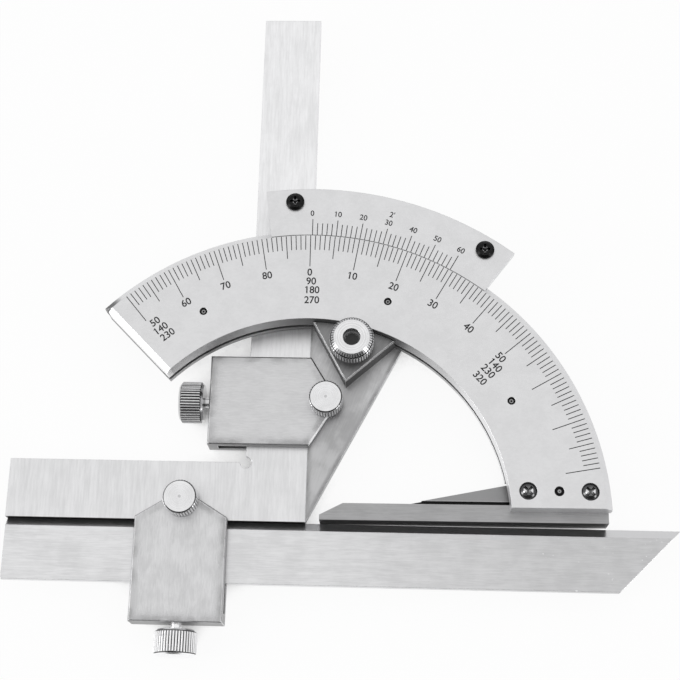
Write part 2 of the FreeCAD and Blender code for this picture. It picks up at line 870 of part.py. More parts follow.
def make_sector_plate():
    body = new_body("sector_plate")
    lug = carrier_inner + d.swing_gap
    pad(body, "sector_blank", [
        (ZERO, ZERO),
        (ZERO, sector_outer, -sector_outer),
        on_scale(sector_outer, d.carrier_right),
        (*on_scale(lug, d.carrier_right), lug),
        on_scale(lug, d.sector_span),
    ], ZERO, d.sector_thick)
    pinion_centre = on_scale(pinion_orbit, d.pinion_angle)
    studs = [lock_place, (d.clamp_stud_place, clamp_1_place)]
    drill(body, "bush_hole", [pinion_centre], d.bush_radius + d.slide_gap, ZERO, d.sector_thick)
    drill(body, "stud_holes", studs, stud_hole, ZERO, d.sector_thick)
    drill(body, "screw_holes", carrier_places("screw"), carrier_screw_hole, ZERO, d.sector_thick)
    drill(body, "dowel_holes", carrier_places("dowel"), carrier_dowel_hole, ZERO, d.sector_thick)
    countersink(body, "lock_stud_seat", lock_place, d.stud_head, d.stud_radius)
    for number, place in enumerate(carrier_places("screw"), start=1):
        countersink(body, f"screw_seat_{number}", place, d.carrier_screw_head, d.carrier_screw_bore)
    keep_on_sector("sector_plate", body)


def make_vernier_carrier():
    body = new_body("vernier_carrier")
    outline = ring_outline(carrier_inner, sector_outer, -d.carrier_left, d.carrier_right)
    pad(body, "carrier_blank", outline, d.sector_thick, carrier_top)
    pinion_centre = on_scale(pinion_orbit, d.pinion_angle)
    pocket_top = ring_base + d.pinion_lift + d.pinion_width + d.pinion_lift
    pivot_top = pocket_top + d.pivot_length
    drill(body, "pinion_pocket", [pinion_centre], pinion_tip + d.pocket_gap, d.sector_thick, pocket_top)
    drill(body, "pivot_hole", [pinion_centre], d.pivot_radius + d.fit_gap, pocket_top, pivot_top)
    drill(body, "screw_holes", carrier_places("screw"), carrier_screw_hole,
          d.sector_thick, d.carrier_screw_length)
    drill(body, "dowel_holes", carrier_places("dowel"), carrier_dowel_hole,
          d.sector_thick, d.carrier_dowel_length)
    drill(body, "vernier_screw_holes", vernier_screw_places(), vernier_screw_hole,
          vernier_screw_end, carrier_top)
    keep_on_sector("vernier_carrier", body)


def make_carrier_fasteners():
    screws = []
    for number, place in enumerate(carrier_places("screw"), start=1):
        screw = countersunk_screw(
            f"carrier_screw_{number}", d.carrier_screw_bore, d.carrier_screw_head,
            ZERO, d.carrier_screw_length)
        screw.Placement = at(*place)
        screws.append(screw)
    keep_on_sector("carrier_screws", group("carrier_screws", screws))
    dowels = []
    for number, place in enumerate(carrier_places("dowel"), start=1):
        dowels.append(cylinder(
            f"carrier_dowel_{number}", d.carrier_dowel_radius, ZERO, d.carrier_dowel_length, *place))
    keep_on_sector("carrier_dowels", group("carrier_dowels", dowels))


def make_vernier_plate():
    body = new_body("vernier_plate")
    inner = d.scale_outer - d.bevel_width + d.vernier_gap
    outline = ring_outline(inner, vernier_outer, -d.vernier_left, d.vernier_right)
    pad(body, "vernier_blank", outline, carrier_top, scale_face)
    groove(body, "under_bevel", [
        (inner, carrier_top - d.vernier_gap),
        (inner + d.bevel_width, carrier_top - d.vernier_gap),
        (inner + d.bevel_width, carrier_top),
        (inner, scale_face - d.vernier_gap),
    ])
    drill(body, "screw_holes", vernier_screw_places(), vernier_screw_hole, carrier_top, scale_face)
    keep_on_sector("vernier_plate", body)


def make_vernier_screws():
    screws = []
    crown = scale_face + d.vernier_screw_rise
    for number, place in enumerate(vernier_screw_places(), start=1):
        screw = new_body(f"vernier_screw_{number}")
        turn(screw, f"vernier_screw_{number}_body", [
            (ZERO, vernier_screw_end),
            (d.vernier_screw_bore, vernier_screw_end),
            (d.vernier_screw_bore, scale_face),
            (d.vernier_screw_head, scale_face),
            (d.vernier_screw_head, scale_face + d.vernier_screw_rise / 2),
            (d.vernier_screw_crown, crown),
            (ZERO, crown),
        ])
        cross_recess(screw, crown)
        screw.Placement = at(*place)
        screws.append(screw)
    keep_on_sector("vernier_screws", group("vernier_screws", screws))


# Fine adjustment: pinion, bush and knob

def pinion_place():
    """Placement of what turns with the pinion, rolled on to the reading."""
    turned = -d.reading.value * SIZES["ring_teeth"] / SIZES["pinion_teeth"]
    return at(*on_scale(pinion_orbit, d.pinion_angle), rotation=about_z(turned - d.pinion_angle.value))


def make_pinion():
    wheel = doc.addObject("Part::Feature", "pinion_wheel")
    wheel.Shape = pinion_wheel()
    wheel_base = ring_base + d.pinion_lift
    wheel_top = wheel_base + d.pinion_width
    pivot_end = wheel_top + d.pinion_lift + d.pivot_length - d.fit_gap
    knob_base = -(d.bush_flange_thick + d.knob_gap + d.knob_thick)
    parts = [
        wheel,
        cylinder("pinion_shaft", d.shaft_radius, knob_base, wheel_base),
        cylinder("pinion_pivot", d.pivot_radius, wheel_top, pivot_end),
    ]
    fused = doc.addObject("Part::MultiFuse", "pinion_blank")
    fused.Shapes = parts
    doc.recompute()
    tapping = cylinder("knob_screw_tapping", d.knob_screw_bore + d.slide_gap,
                       knob_base, knob_base + d.knob_screw_length + d.slide_gap)
    seat = cone("knob_screw_seat", d.knob_screw_head + d.slide_gap, d.knob_screw_bore + d.slide_gap,
                knob_base, knob_base + d.knob_screw_head - d.knob_screw_bore)
    pinion = subtract("pinion", fused, [tapping, seat])
    keep_on_sector("pinion", pinion, pinion_place())
    screw = countersunk_screw(
        "knob_screw", d.knob_screw_bore, d.knob_screw_head, knob_base, knob_base + d.knob_screw_length)
    keep_on_sector("knob_screw", screw, pinion_place())


def make_pinion_bush():
    body = new_body("pinion_bush")
    bore = d.shaft_radius + d.fit_gap
    turn(body, "bush_body", [
        (bore, -d.bush_flange_thick),
        (d.bush_flange, -d.bush_flange_thick),
        (d.bush_flange, ZERO),
        (d.bush_radius, ZERO),
        (d.bush_radius, d.sector_thick),
        (bore, d.sector_thick),
    ])
    keep_on_sector("pinion_bush", body, at(*on_scale(pinion_orbit, d.pinion_angle)))


def make_adjusting_knob():
    body = new_body("adjusting_knob")
    top = -(d.bush_flange_thick + d.knob_gap)
    base = top - d.knob_thick
    bore = d.shaft_radius + d.slide_gap
    turn(body, "knob_body", [
        (bore, base),
        (d.knob_radius - d.knob_edge, base),
        (d.knob_radius, base + d.knob_edge),
        (d.knob_radius, top - d.knob_edge),
        (d.knob_radius - d.knob_edge, top),
        (bore, top),
    ])
    knurl(body, "knob_knurl", d.knob_radius, top, d.knob_thick)
    keep_on_sector("adjusting_knob", body, pinion_place())


# Lock: stud, block with its tongue in the ring's groove, and knurled nut

def make_lock():
    stud = new_body("lock_stud")
    neck = d.stud_head - d.stud_radius
    stud_top = lock_mouth_floor + d.lock_stud_proud
    turn(stud, "lock_stud_body", [
        (ZERO, ZERO), (d.stud_head, ZERO), (d.stud_radius, neck),
        (d.stud_radius, stud_top), (ZERO, stud_top),
    ])
    keep_on_sector("lock_stud", stud, at(*lock_place))
    block = new_body("lock_block")
    rim = scale_inner - d.block_gap
    base = d.sector_thick + d.fit_gap
    tip = (lock_place[0] - d.block_tip_left, lock_place[1] - d.block_tip_drop)
    pad(block, "block_blank", [
        (*on_scale(rim, d.block_left), -rim),
        on_scale(rim, d.block_right),
        tip,
    ], base, d.block_top)
    tongue_outer = scale_inner + d.groove_depth - d.block_gap
    tongue_left = d.block_left + d.tongue_margin
    tongue_right = d.block_right - d.tongue_margin
    tongue = ring_outline(rim - d.tongue_margin, tongue_outer, tongue_left, tongue_right)
    pad(block, "tongue", tongue, groove_base + d.tongue_gap, scale_base - d.tongue_gap)
    drill(block, "stud_hole", [lock_place], stud_hole, base, d.block_top)
    chamfer_outline(block, "front_edge", d.block_top, d.clamp_edge)
    keep_on_sector("lock_block", block)
    collar = new_body("lock_collar")
    turn(collar, "lock_collar_body", [
        (stud_hole, d.block_top),
        (d.lock_collar_radius, d.block_top),
        (d.lock_collar_radius, lock_flange),
        (stud_hole, lock_flange),
    ])
    keep_on_sector("lock_collar", collar, at(*lock_place))
    nut = new_body("lock_nut")
    turn(nut, "lock_nut_body", [
        (stud_hole, lock_flange),
        (d.lock_flange_radius, lock_flange),
        (d.lock_flange_radius, lock_shoulder),
        (d.lock_cap_radius, lock_crown),
        (d.lock_mouth_radius, lock_crown),
        (d.lock_mouth_radius, lock_mouth_floor),
        (stud_hole, lock_mouth_floor),
    ])
    knurl(nut, "lock_nut_knurl", d.lock_flange_radius, lock_crown, lock_crown - lock_flange)
    keep_on_sector("lock_nut", nut, at(*lock_place))


# Clamps: both are built with the held rule's bearing edge along their own Y axis

def clamp_placements():
    first = at(ZERO, clamp_1_place)
    second = at(-d.clamp_2_place, ZERO, rotation=about_z(90))
    return {1: first, 2: second}


def make_clamp_block(number, placement):
    body = new_body(f"clamp_block_{number}")
    half = d.clamp_width / 2
    apex = d.clamp_front + d.clamp_roof
    pad(body, "block_blank", [
        (-clamp_back, -half),
        (d.clamp_front, -half),
        (apex, ZERO),
        (d.clamp_front, half),
        (-clamp_back, half),
    ], clamp_rear, clamp_face)
    inside = d.clamp_wall - clamp_back
    beyond = apex + d.clamp_wall
    side = half + d.clamp_wall
    pocket(body, "channel", [
        (inside, -side),
        (beyond, -side),
        (beyond, side),
        (inside, side),
    ], channel_top, channel_top - channel_base)
    stud = [(d.clamp_stud_place, ZERO)]
    drill(body, "stud_hole", stud, stud_hole, clamp_rear, clamp_face)
    countersink(body, "stud_seat", stud[0], d.stud_head, d.stud_radius, clamp_rear)
    hole = new_sketch(body, "screw_hole_circle", role="YZ_Plane", level=inside)
    draw_circle(hole, ZERO, screw_level, d.screw_bore)
    cut(body, "screw_hole", hole, d.clamp_wall)
    chamfer_outline(body, "front_edge", clamp_face, d.clamp_edge)
    chamfer_outline(body, "rear_edge", clamp_rear, d.clamp_edge)
    keep_on_sector(f"clamp_block_{number}", body, placement)


def make_clamp_stud(number, placement):
    body = new_body(f"clamp_stud_{number}")
    neck = clamp_rear + d.stud_head - d.stud_radius
    turn(body, "stud_body", [
        (ZERO, clamp_rear), (d.stud_head, clamp_rear), (d.stud_radius, neck),
        (d.stud_radius, clamp_stud_top), (ZERO, clamp_stud_top),
    ])
    keep_on_sector(f"clamp_stud_{number}", body, placement * at(d.clamp_stud_place, ZERO))


def make_clamp_nut(number, placement):
    body = new_body(f"clamp_nut_{number}")
    turn(body, "nut_body", [
        (stud_hole, clamp_face),
        (d.nut_radius - d.nut_edge, clamp_face),
        (d.nut_radius, clamp_face + d.nut_edge),
        (d.nut_radius, nut_crown - d.nut_edge),
        (d.nut_face_radius, nut_crown),
        (ZERO, nut_crown),
        (ZERO, nut_crown - d.nut_roof),
        (stud_hole, nut_crown - d.nut_roof),
    ])
    knurl(body, "nut_knurl", d.nut_radius, nut_crown, d.nut_height)
    keep_on_sector(f"clamp_nut_{number}", body, placement * at(d.clamp_stud_place, ZERO))


def make_side_screw(number, placement):
    """Screw along its own Z axis, from the tip in the pad's socket to the knurled head."""
    body = new_body(f"side_screw_{number}")
    tip = d.rule_width + d.fit_gap + d.pad_length - d.pad_socket + d.fit_gap
    head = clamp_back + d.screw_exposed - tip
    crown = head + d.screw_head_length
    turn(body, "screw_body", [
        (ZERO, ZERO),
        (d.tip_radius, ZERO),
        (d.tip_radius, d.pad_socket),
        (d.screw_radius, d.pad_socket),
        (d.screw_radius, head),
        (d.screw_head_radius - d.screw_head_round, head),
        (d.screw_head_radius, head + d.screw_head_round),
        (d.screw_head_radius, crown - d.screw_head_round),
        (d.screw_head_radius - d.screw_head_round, crown),
        (ZERO, crown),
    ])
    knurl(body, "head_knurl", d.screw_head_radius, crown, d.screw_head_length)
    outwards = FreeCAD.Rotation(FreeCAD.Vector(0, 1, 0), -90)
    keep_on_sector(f"side_screw_{number}", body, placement * at(-tip, ZERO, screw_level, outwards))


def make_pressure_pad(number, placement):
    body = new_body(f"pressure_pad_{number}")
    face = -(d.rule_width + d.fit_gap)
    back = face - d.pad_length
    half = d.pad_width / 2
    pad(body, "pad_blank", [(back, -half), (face, -half), (face, half), (back, half)], ZERO, pad_thick)
    socket = new_sketch(body, "socket_circle", role="YZ_Plane", level=back + d.pad_socket)
    draw_circle(socket, ZERO, screw_level, d.tip_radius + d.fit_gap)
    cut(body, "socket", socket, d.pad_socket)
    keep_on_sector(f"pressure_pad_{number}", body, placement)


# Rules

def make_square():
    body = new_body("square")
    edge = -d.slide_gap
    pad(body, "square_blank", [
        (-d.short_arm_end, ZERO),
        (edge, ZERO),
        (edge, d.long_arm_end),
        (-d.rule_width, d.long_arm_end),
        (-d.rule_width, d.short_arm_width),
        (-d.short_arm_end, d.short_arm_width),
    ], ZERO, d.rule_thick)
    corner = (-d.rule_width, d.short_arm_width)
    drill(body, "relief", [corner], d.relief_radius, ZERO, d.rule_thick)
    drill(body, "stud_hole", [(-d.clamp_2_place, d.clamp_stud_place)], stud_hole, ZERO, d.rule_thick)
    keep_on_sector("square", body)


def make_straightedge():
    body = new_body("straightedge")
    edge = -d.slide_gap
    low = edge - d.rule_width
    pad(body, "straightedge_blank", [
        (-d.straightedge_left, low),
        (d.straightedge_right - d.rule_width, low),
        (d.straightedge_right, edge),
        (-d.straightedge_left, edge),
    ], ZERO, d.rule_thick)
    bevel = new_sketch(body, "bevel_profile", role="YZ_Plane", level=d.straightedge_right)
    draw(bevel, [
        (edge, d.rule_thick - d.edge_bevel_depth),
        (edge, d.rule_thick),
        (edge - d.edge_bevel_width, d.rule_thick),
    ])
    cut(body, "edge_bevel", bevel, d.straightedge_left + d.straightedge_right)
    keep_on_sector("straightedge", body)


make_main_scale_plate()
make_rack_ring()
make_ring_screws()
make_base_rule()
make_foot_fasteners()
make_sector_plate()
make_vernier_carrier()
make_carrier_fasteners()
make_vernier_plate()
make_vernier_screws()
make_pinion()
make_pinion_bush()
make_adjusting_knob()
make_lock()
for clamp_number, clamp_placement in clamp_placements().items():
    make_clamp_block(clamp_number, clamp_placement)
    make_clamp_stud(clamp_number, clamp_placement)
    make_clamp_nut(clamp_number, clamp_placement)
    make_side_screw(clamp_number, clamp_placement)
    make_pressure_pad(clamp_number, clamp_placement)
make_square()
make_straightedge()

doc.recompute()
for item in doc.Objects:
    if "Invalid" in item.State or "Error" in item.State:
        raise RuntimeError(f"{item.Label} did not compute: {item.State}")
for label, item in nodes.items():
    if item.Shape.isNull() or not item.Shape.isValid():
        raise RuntimeError(f"{label} has no valid shape")

os.makedirs("parts", exist_ok=True)
for label, item in nodes.items():
    item.Shape.exportStep(f"parts/{label}.step")
    print(f"{label}: {len(item.Shape.Solids)} solid(s), {item.Shape.Volume:.1f} mm3")
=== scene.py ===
import math

import bpy
import numpy as np
from mathutils import Matrix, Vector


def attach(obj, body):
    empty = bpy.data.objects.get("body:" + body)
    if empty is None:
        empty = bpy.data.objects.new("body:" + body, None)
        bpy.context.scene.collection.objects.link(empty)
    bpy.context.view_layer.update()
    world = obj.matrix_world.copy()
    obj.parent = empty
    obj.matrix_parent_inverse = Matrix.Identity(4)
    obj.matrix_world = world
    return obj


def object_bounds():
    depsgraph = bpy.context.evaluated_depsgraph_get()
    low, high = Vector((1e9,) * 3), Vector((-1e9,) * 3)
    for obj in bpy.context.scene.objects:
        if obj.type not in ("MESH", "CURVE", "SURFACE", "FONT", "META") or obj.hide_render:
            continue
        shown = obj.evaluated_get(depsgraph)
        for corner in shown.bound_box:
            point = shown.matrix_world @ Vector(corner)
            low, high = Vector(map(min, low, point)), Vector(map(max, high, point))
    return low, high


# Bevel protractor: finishes of the steel parts, the engraved lines and numbers, floor, light and camera.
# Metres throughout. Scale angles count clockwise from +Y, as on the instrument.

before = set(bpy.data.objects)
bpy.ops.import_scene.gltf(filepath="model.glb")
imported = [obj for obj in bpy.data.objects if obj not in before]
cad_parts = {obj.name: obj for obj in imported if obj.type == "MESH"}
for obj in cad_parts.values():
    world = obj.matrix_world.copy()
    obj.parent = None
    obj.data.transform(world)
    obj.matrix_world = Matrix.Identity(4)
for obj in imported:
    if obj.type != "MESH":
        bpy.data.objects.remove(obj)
cad_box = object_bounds()

MM = 0.001
READING_DEGREES = 1 / 3
READING = math.radians(READING_DEGREES)
SCALE_FACE = 13.1 * MM

# Radii from the vertex, in millimetres
ARC_INNER = 59.3
SCALE_LINES_OUTER = 85.9
VERNIER_INNER = 86.15
VERNIER_LINES_INNER = 86.2


# Shader helpers

def grey(value):
    """Colour of plain steel at a brightness, a trace bluer than neutral."""
    return value, value, value * 1.01


def add(tree, kind, inputs=None, **settings):
    """A shader node; its inputs are values or the sockets that feed them."""
    made = tree.nodes.new("ShaderNode" + kind)
    for name, value in settings.items():
        setattr(made, name, value)
    for name, value in (inputs or {}).items():
        if isinstance(value, bpy.types.NodeSocket):
            tree.links.new(value, made.inputs[name])
        else:
            made.inputs[name].default_value = value
    return made


def maths(tree, operation, first, second=0.0, clamp=False):
    """Result socket of a Math node."""
    return add(tree, "Math", {0: first, 1: second}, operation=operation, use_clamp=clamp).outputs[0]


def between(tree, value, low, high, out_low=0.0, out_high=1.0):
    """Value carried from the range low..high to out_low..out_high, smooth at both ends."""
    sockets = {"Value": value, "From Min": low, "From Max": high, "To Min": out_low, "To Max": out_high}
    return add(tree, "MapRange", sockets, interpolation_type="SMOOTHSTEP").outputs["Result"]


def blend(tree, share, first, second):
    """Colour that goes from first to second with the share."""
    made = add(tree, "Mix", data_type="RGBA")
    for number, value in ((0, share), (6, first), (7, second)):
        if isinstance(value, bpy.types.NodeSocket):
            tree.links.new(value, made.inputs[number])
        elif number == 0:
            made.inputs[number].default_value = value
        else:
            made.inputs[number].default_value = (*value, 1.0)
    return made.outputs[2]


def flat_radius(tree, vector):
    """Distance from the vector's third axis."""
    parts = add(tree, "SeparateXYZ", {0: vector})
    flat = add(tree, "CombineXYZ", {"X": parts.outputs["X"], "Y": parts.outputs["Y"]})
    return add(tree, "VectorMath", {0: flat.outputs[0]}, operation="LENGTH").outputs["Value"]


def scale_angle(tree, vector):
    """Angle round the vector's third axis in radians, clockwise from its second axis."""
    parts = add(tree, "SeparateXYZ", {0: vector})
    return maths(tree, "ARCTAN2", parts.outputs["X"], parts.outputs["Y"])


def new_group(name, inputs, outputs):
    """Empty node group with its sockets, as (tree, input node, output node)."""
    tree = bpy.data.node_groups.new(name, "ShaderNodeTree")
    for label, kind in inputs:
        tree.interface.new_socket(name=label, in_out="INPUT", socket_type="NodeSocket" + kind)
    for label, kind in outputs:
        tree.interface.new_socket(name=label, in_out="OUTPUT", socket_type="NodeSocket" + kind)
    return tree, tree.nodes.new("NodeGroupInput"), tree.nodes.new("NodeGroupOutput")


def edge_group():
    """Worn outer edges, a mask of hollows that the finishes paint dark as shade and dirt, and a rounded
    normal, from how the surface turns nearby.
    """
    tree, given, result = new_group(
        "edges_and_hollows",
        [("Vector", "Vector"), ("Width", "Float"), ("Wear", "Float"), ("Reach", "Float")],
        [("Worn", "Float"), ("Hollow", "Float"), ("Normal", "Vector")])
    rounded = add(tree, "Bevel", {"Radius": given.outputs["Width"]}, samples=6)
    surface = add(tree, "NewGeometry")
    facing = add(tree, "VectorMath", {0: rounded.outputs[0], 1: surface.outputs["Normal"]},
                 operation="DOT_PRODUCT")
    turning = maths(tree, "SUBTRACT", 1.0, facing.outputs["Value"])
    open_air = add(tree, "AmbientOcclusion", {"Distance": given.outputs["Reach"]},
                   samples=6, only_local=True).outputs["AO"]
    shut = maths(tree, "SUBTRACT", 1.0, open_air, clamp=True)
    open_edge = between(tree, shut, 0.25, 0.05)
    broken = add(tree, "TexNoise", {"Vector": given.outputs["Vector"], "Scale": 900.0, "Detail": 3.0})
    uneven = between(tree, broken.outputs["Fac"], 0.3, 0.65, 0.35, 1.0)
    worn = maths(tree, "MULTIPLY", between(tree, turning, 0.004, 0.12), uneven)
    worn = maths(tree, "MULTIPLY", worn, open_edge)
    worn = maths(tree, "MULTIPLY", worn, given.outputs["Wear"], clamp=True)
    tree.links.new(worn, result.inputs["Worn"])
    tree.links.new(between(tree, shut, 0.15, 0.8), result.inputs["Hollow"])
    tree.links.new(rounded.outputs[0], result.inputs["Normal"])
    return tree


def lines_group():
    """Grinding lines of several widths, which run along the vector's first axis."""
    tree, given, result = new_group(
        "grinding_lines", [("Vector", "Vector"), ("Along", "Float"), ("Across", "Float")],
        [("Fine", "Float"), ("Streaks", "Float"), ("Cloud", "Float")])
    stretch = add(tree, "CombineXYZ", {
        "X": given.outputs["Along"], "Y": given.outputs["Across"], "Z": given.outputs["Across"]})
    point = add(tree, "VectorMath", {0: given.outputs["Vector"], 1: stretch.outputs[0]},
                operation="MULTIPLY").outputs["Vector"]
    fine = add(tree, "TexNoise", {"Vector": point, "Scale": 1.0, "Detail": 4.0, "Roughness": 0.7})
    streaks = add(tree, "TexNoise", {"Vector": point, "Scale": 0.3, "Detail": 3.0, "Roughness": 0.5})
    cloud = add(tree, "TexNoise", {"Vector": given.outputs["Vector"], "Scale": 160.0, "Detail": 5.0})
    tree.links.new(fine.outputs["Fac"], result.inputs["Fine"])
    tree.links.new(between(tree, streaks.outputs["Fac"], 0.3, 0.7), result.inputs["Streaks"])
    tree.links.new(between(tree, cloud.outputs["Fac"], 0.3, 0.7), result.inputs["Cloud"])
    return tree


def turning_group():
    """Rings left by turning round the vector's third axis, and the distance from that axis."""
    tree, given, result = new_group(
        "turning_rings", [("Vector", "Vector"), ("Spacing", "Float")],
        [("Rings", "Float"), ("Radius", "Float")])
    radius = flat_radius(tree, given.outputs["Vector"])
    height = add(tree, "SeparateXYZ", {0: given.outputs["Vector"]}).outputs["Z"]
    place = maths(tree, "DIVIDE", radius, given.outputs["Spacing"])
    along = maths(tree, "DIVIDE", height, given.outputs["Spacing"])
    both = add(tree, "CombineXYZ", {"X": place, "Y": along})
    rings = add(tree, "TexNoise", {"Vector": both.outputs[0], "Scale": 1.0, "Detail": 3.0, "Roughness": 0.6})
    tree.links.new(rings.outputs["Fac"], result.inputs["Rings"])
    tree.links.new(radius, result.inputs["Radius"])
    return tree


EDGES = edge_group()
LINES = lines_group()
TURNING = turning_group()


def place_group(tree, group, inputs):
    """Outputs of a shared node group that is given these inputs."""
    return add(tree, "Group", inputs, node_tree=group).outputs


def new_finish(name):
    """Empty material, as (material, tree, shader, Object coordinates)."""
    material = bpy.data.materials.new(name)
    material.use_nodes = True
    tree = material.node_tree
    shader = next(made for made in tree.nodes if made.type == "BSDF_PRINCIPLED")
    coordinates = add(tree, "TexCoord").outputs["Object"]
    return material, tree, shader, coordinates


def finish_surface(tree, shader, colour, roughness, height, bump, edges, edge_tone, hollow_shade_and_dirt_tone):
    """Last steps that every steel finish shares: painted shade and dirt in hollows, worn edges, bump and
    roughness.
    """
    # Hollows are painted dark, partly as dirt and partly as painted shade.
    colour = blend(tree, edges["Hollow"], colour, grey(hollow_shade_and_dirt_tone))
    colour = blend(tree, edges["Worn"], colour, grey(edge_tone))
    tree.links.new(colour, shader.inputs["Base Color"])
    smoothed = maths(tree, "SUBTRACT", roughness, maths(tree, "MULTIPLY", edges["Worn"], 0.12), clamp=True)
    tree.links.new(smoothed, shader.inputs["Roughness"])
    shader.inputs["Metallic"].default_value = 1.0
    relief = add(tree, "Bump", {
        "Strength": bump, "Distance": 0.05 * MM, "Height": height, "Normal": edges["Normal"]})
    tree.links.new(relief.outputs[0], shader.inputs["Normal"])


def turned_back(tree, coordinates, degrees):
    """Coordinates in the frame of a piece that is turned clockwise about Z by an angle."""
    return add(tree, "Mapping", {"Vector": coordinates, "Rotation": (0, 0, math.radians(degrees))}).outputs[0]


def inner_wall(tree, coordinates, colour, radius, tones):
    """Painted light and shade on the upright face nearer to the vertex than the radius.

    tones holds (angle in degrees, tone) in order; the wall's painted tone goes from one to the next.
    """
    near = between(tree, flat_radius(tree, coordinates), (radius + 0.12) * MM, (radius + 0.05) * MM)
    angle = scale_angle(tree, coordinates)
    wall = grey(tones[0][1])
    for (first, _), (second, tone) in zip(tones, tones[1:]):
        # The wall is painted lighter and darker by its angle, as light and shade.
        wall = blend(tree, between(tree, angle, math.radians(first), math.radians(second)), wall, grey(tone))
    return blend(tree, near, colour, wall)


def front_wall(tree, coordinates, colour, turn, place, tone):
    """Painted tone of the upright face that looks along -Y at a place in millimetres, standing for its light
    and shade.
    """
    parts = add(tree, "SeparateXYZ", {0: turned_back(tree, coordinates, turn)})
    near = between(tree, parts.outputs["Y"], (place + 0.12) * MM, (place + 0.05) * MM)
    return blend(tree, near, colour, grey(tone))


def side_walls(name, tone):
    """Function that paints a block's upright faces, between its top and its back, a darker tone as shade."""
    levels = [corner[2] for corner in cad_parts[name].bound_box]
    back, top = min(levels), max(levels)

    def faces(tree, coordinates, colour):
        level = add(tree, "SeparateXYZ", {0: coordinates}).outputs["Z"]
        below_top = between(tree, level, top - 0.4 * MM, top - 0.6 * MM)
        above_back = between(tree, level, back + 0.2 * MM, back + 0.4 * MM)
        # Painted shade on the upright faces.
        return blend(tree, maths(tree, "MULTIPLY", below_top, above_back), colour, grey(tone))

    return faces


def ground_finish(name, dark, light, rough, turn=0.0, across=2600.0, along=200.0, bump=0.1, edge_width=0.2,
                  wear=1.0, edge_tone=0.9, hollow_shade_and_dirt_tone=0.08, shares=(0.8, 0.08, 0.12), reach=1.2, extra=None,
                  light_and_shade_fade=None, border=None):
    """Ground or milled steel; its lines run along X, turned by an angle in degrees about Z.

    dark and light are the tones that the marks lie between. across and along set how fine the lines are.
    shares are those of the fine lines, the streaks and the clouds. extra adds tones of single faces, most of
    them painted light and shade.
    fade is (axis, first, last, tone, share), a painted gradient of light and shade: the metal and its lines
    go over to
    that tone between two places. border is (width, tone): oil and dirt stain the faces within that width of
    their edges.
    """
    material, tree, shader, coordinates = new_finish(name)
    lined = turned_back(tree, coordinates, -turn)
    marks = place_group(tree, LINES, {"Vector": lined, "Along": along, "Across": across})
    edges = place_group(tree, EDGES, {
        "Vector": coordinates, "Width": edge_width * MM, "Wear": wear, "Reach": reach * MM})
    mixed = maths(tree, "MULTIPLY", marks["Fine"], shares[0])
    mixed = maths(tree, "ADD", mixed, maths(tree, "MULTIPLY", marks["Streaks"], shares[1]))
    mixed = maths(tree, "ADD", mixed, maths(tree, "MULTIPLY", marks["Cloud"], shares[2]))
    marked = between(tree, mixed, 0.25, 0.75)
    colour = blend(tree, marked, grey(dark), grey(light))
    # Painted light and shade: the tone changes along one axis.
    if light_and_shade_fade:
        axis, first, last, tone, share = light_and_shade_fade
        place = add(tree, "SeparateXYZ", {0: coordinates}).outputs[axis]
        gone = maths(tree, "MULTIPLY", between(tree, place, first * MM, last * MM), share)
        colour = blend(tree, gone, colour, blend(tree, marked, grey(tone * dark / light), grey(tone)))
    if border:
        width, tone = border
        rounded = add(tree, "Bevel", {"Radius": width * MM}, samples=6).outputs[0]
        surface = add(tree, "NewGeometry").outputs["Normal"]
        facing = add(tree, "VectorMath", {0: rounded, 1: surface}, operation="DOT_PRODUCT").outputs["Value"]
        patches = between(tree, marks["Cloud"], 0.1, 0.9, 0.2, 0.75)
        stain = maths(tree, "MULTIPLY", between(tree, facing, 0.9998, 0.95), patches)
        colour = blend(tree, stain, colour, grey(tone))
    if extra:
        colour = extra(tree, coordinates, colour)
    roughness = maths(tree, "ADD", rough - 0.06, maths(tree, "MULTIPLY", mixed, 0.16))
    finish_surface(tree, shader, colour, roughness, marks["Fine"], bump, edges, edge_tone, hollow_shade_and_dirt_tone)
    return material


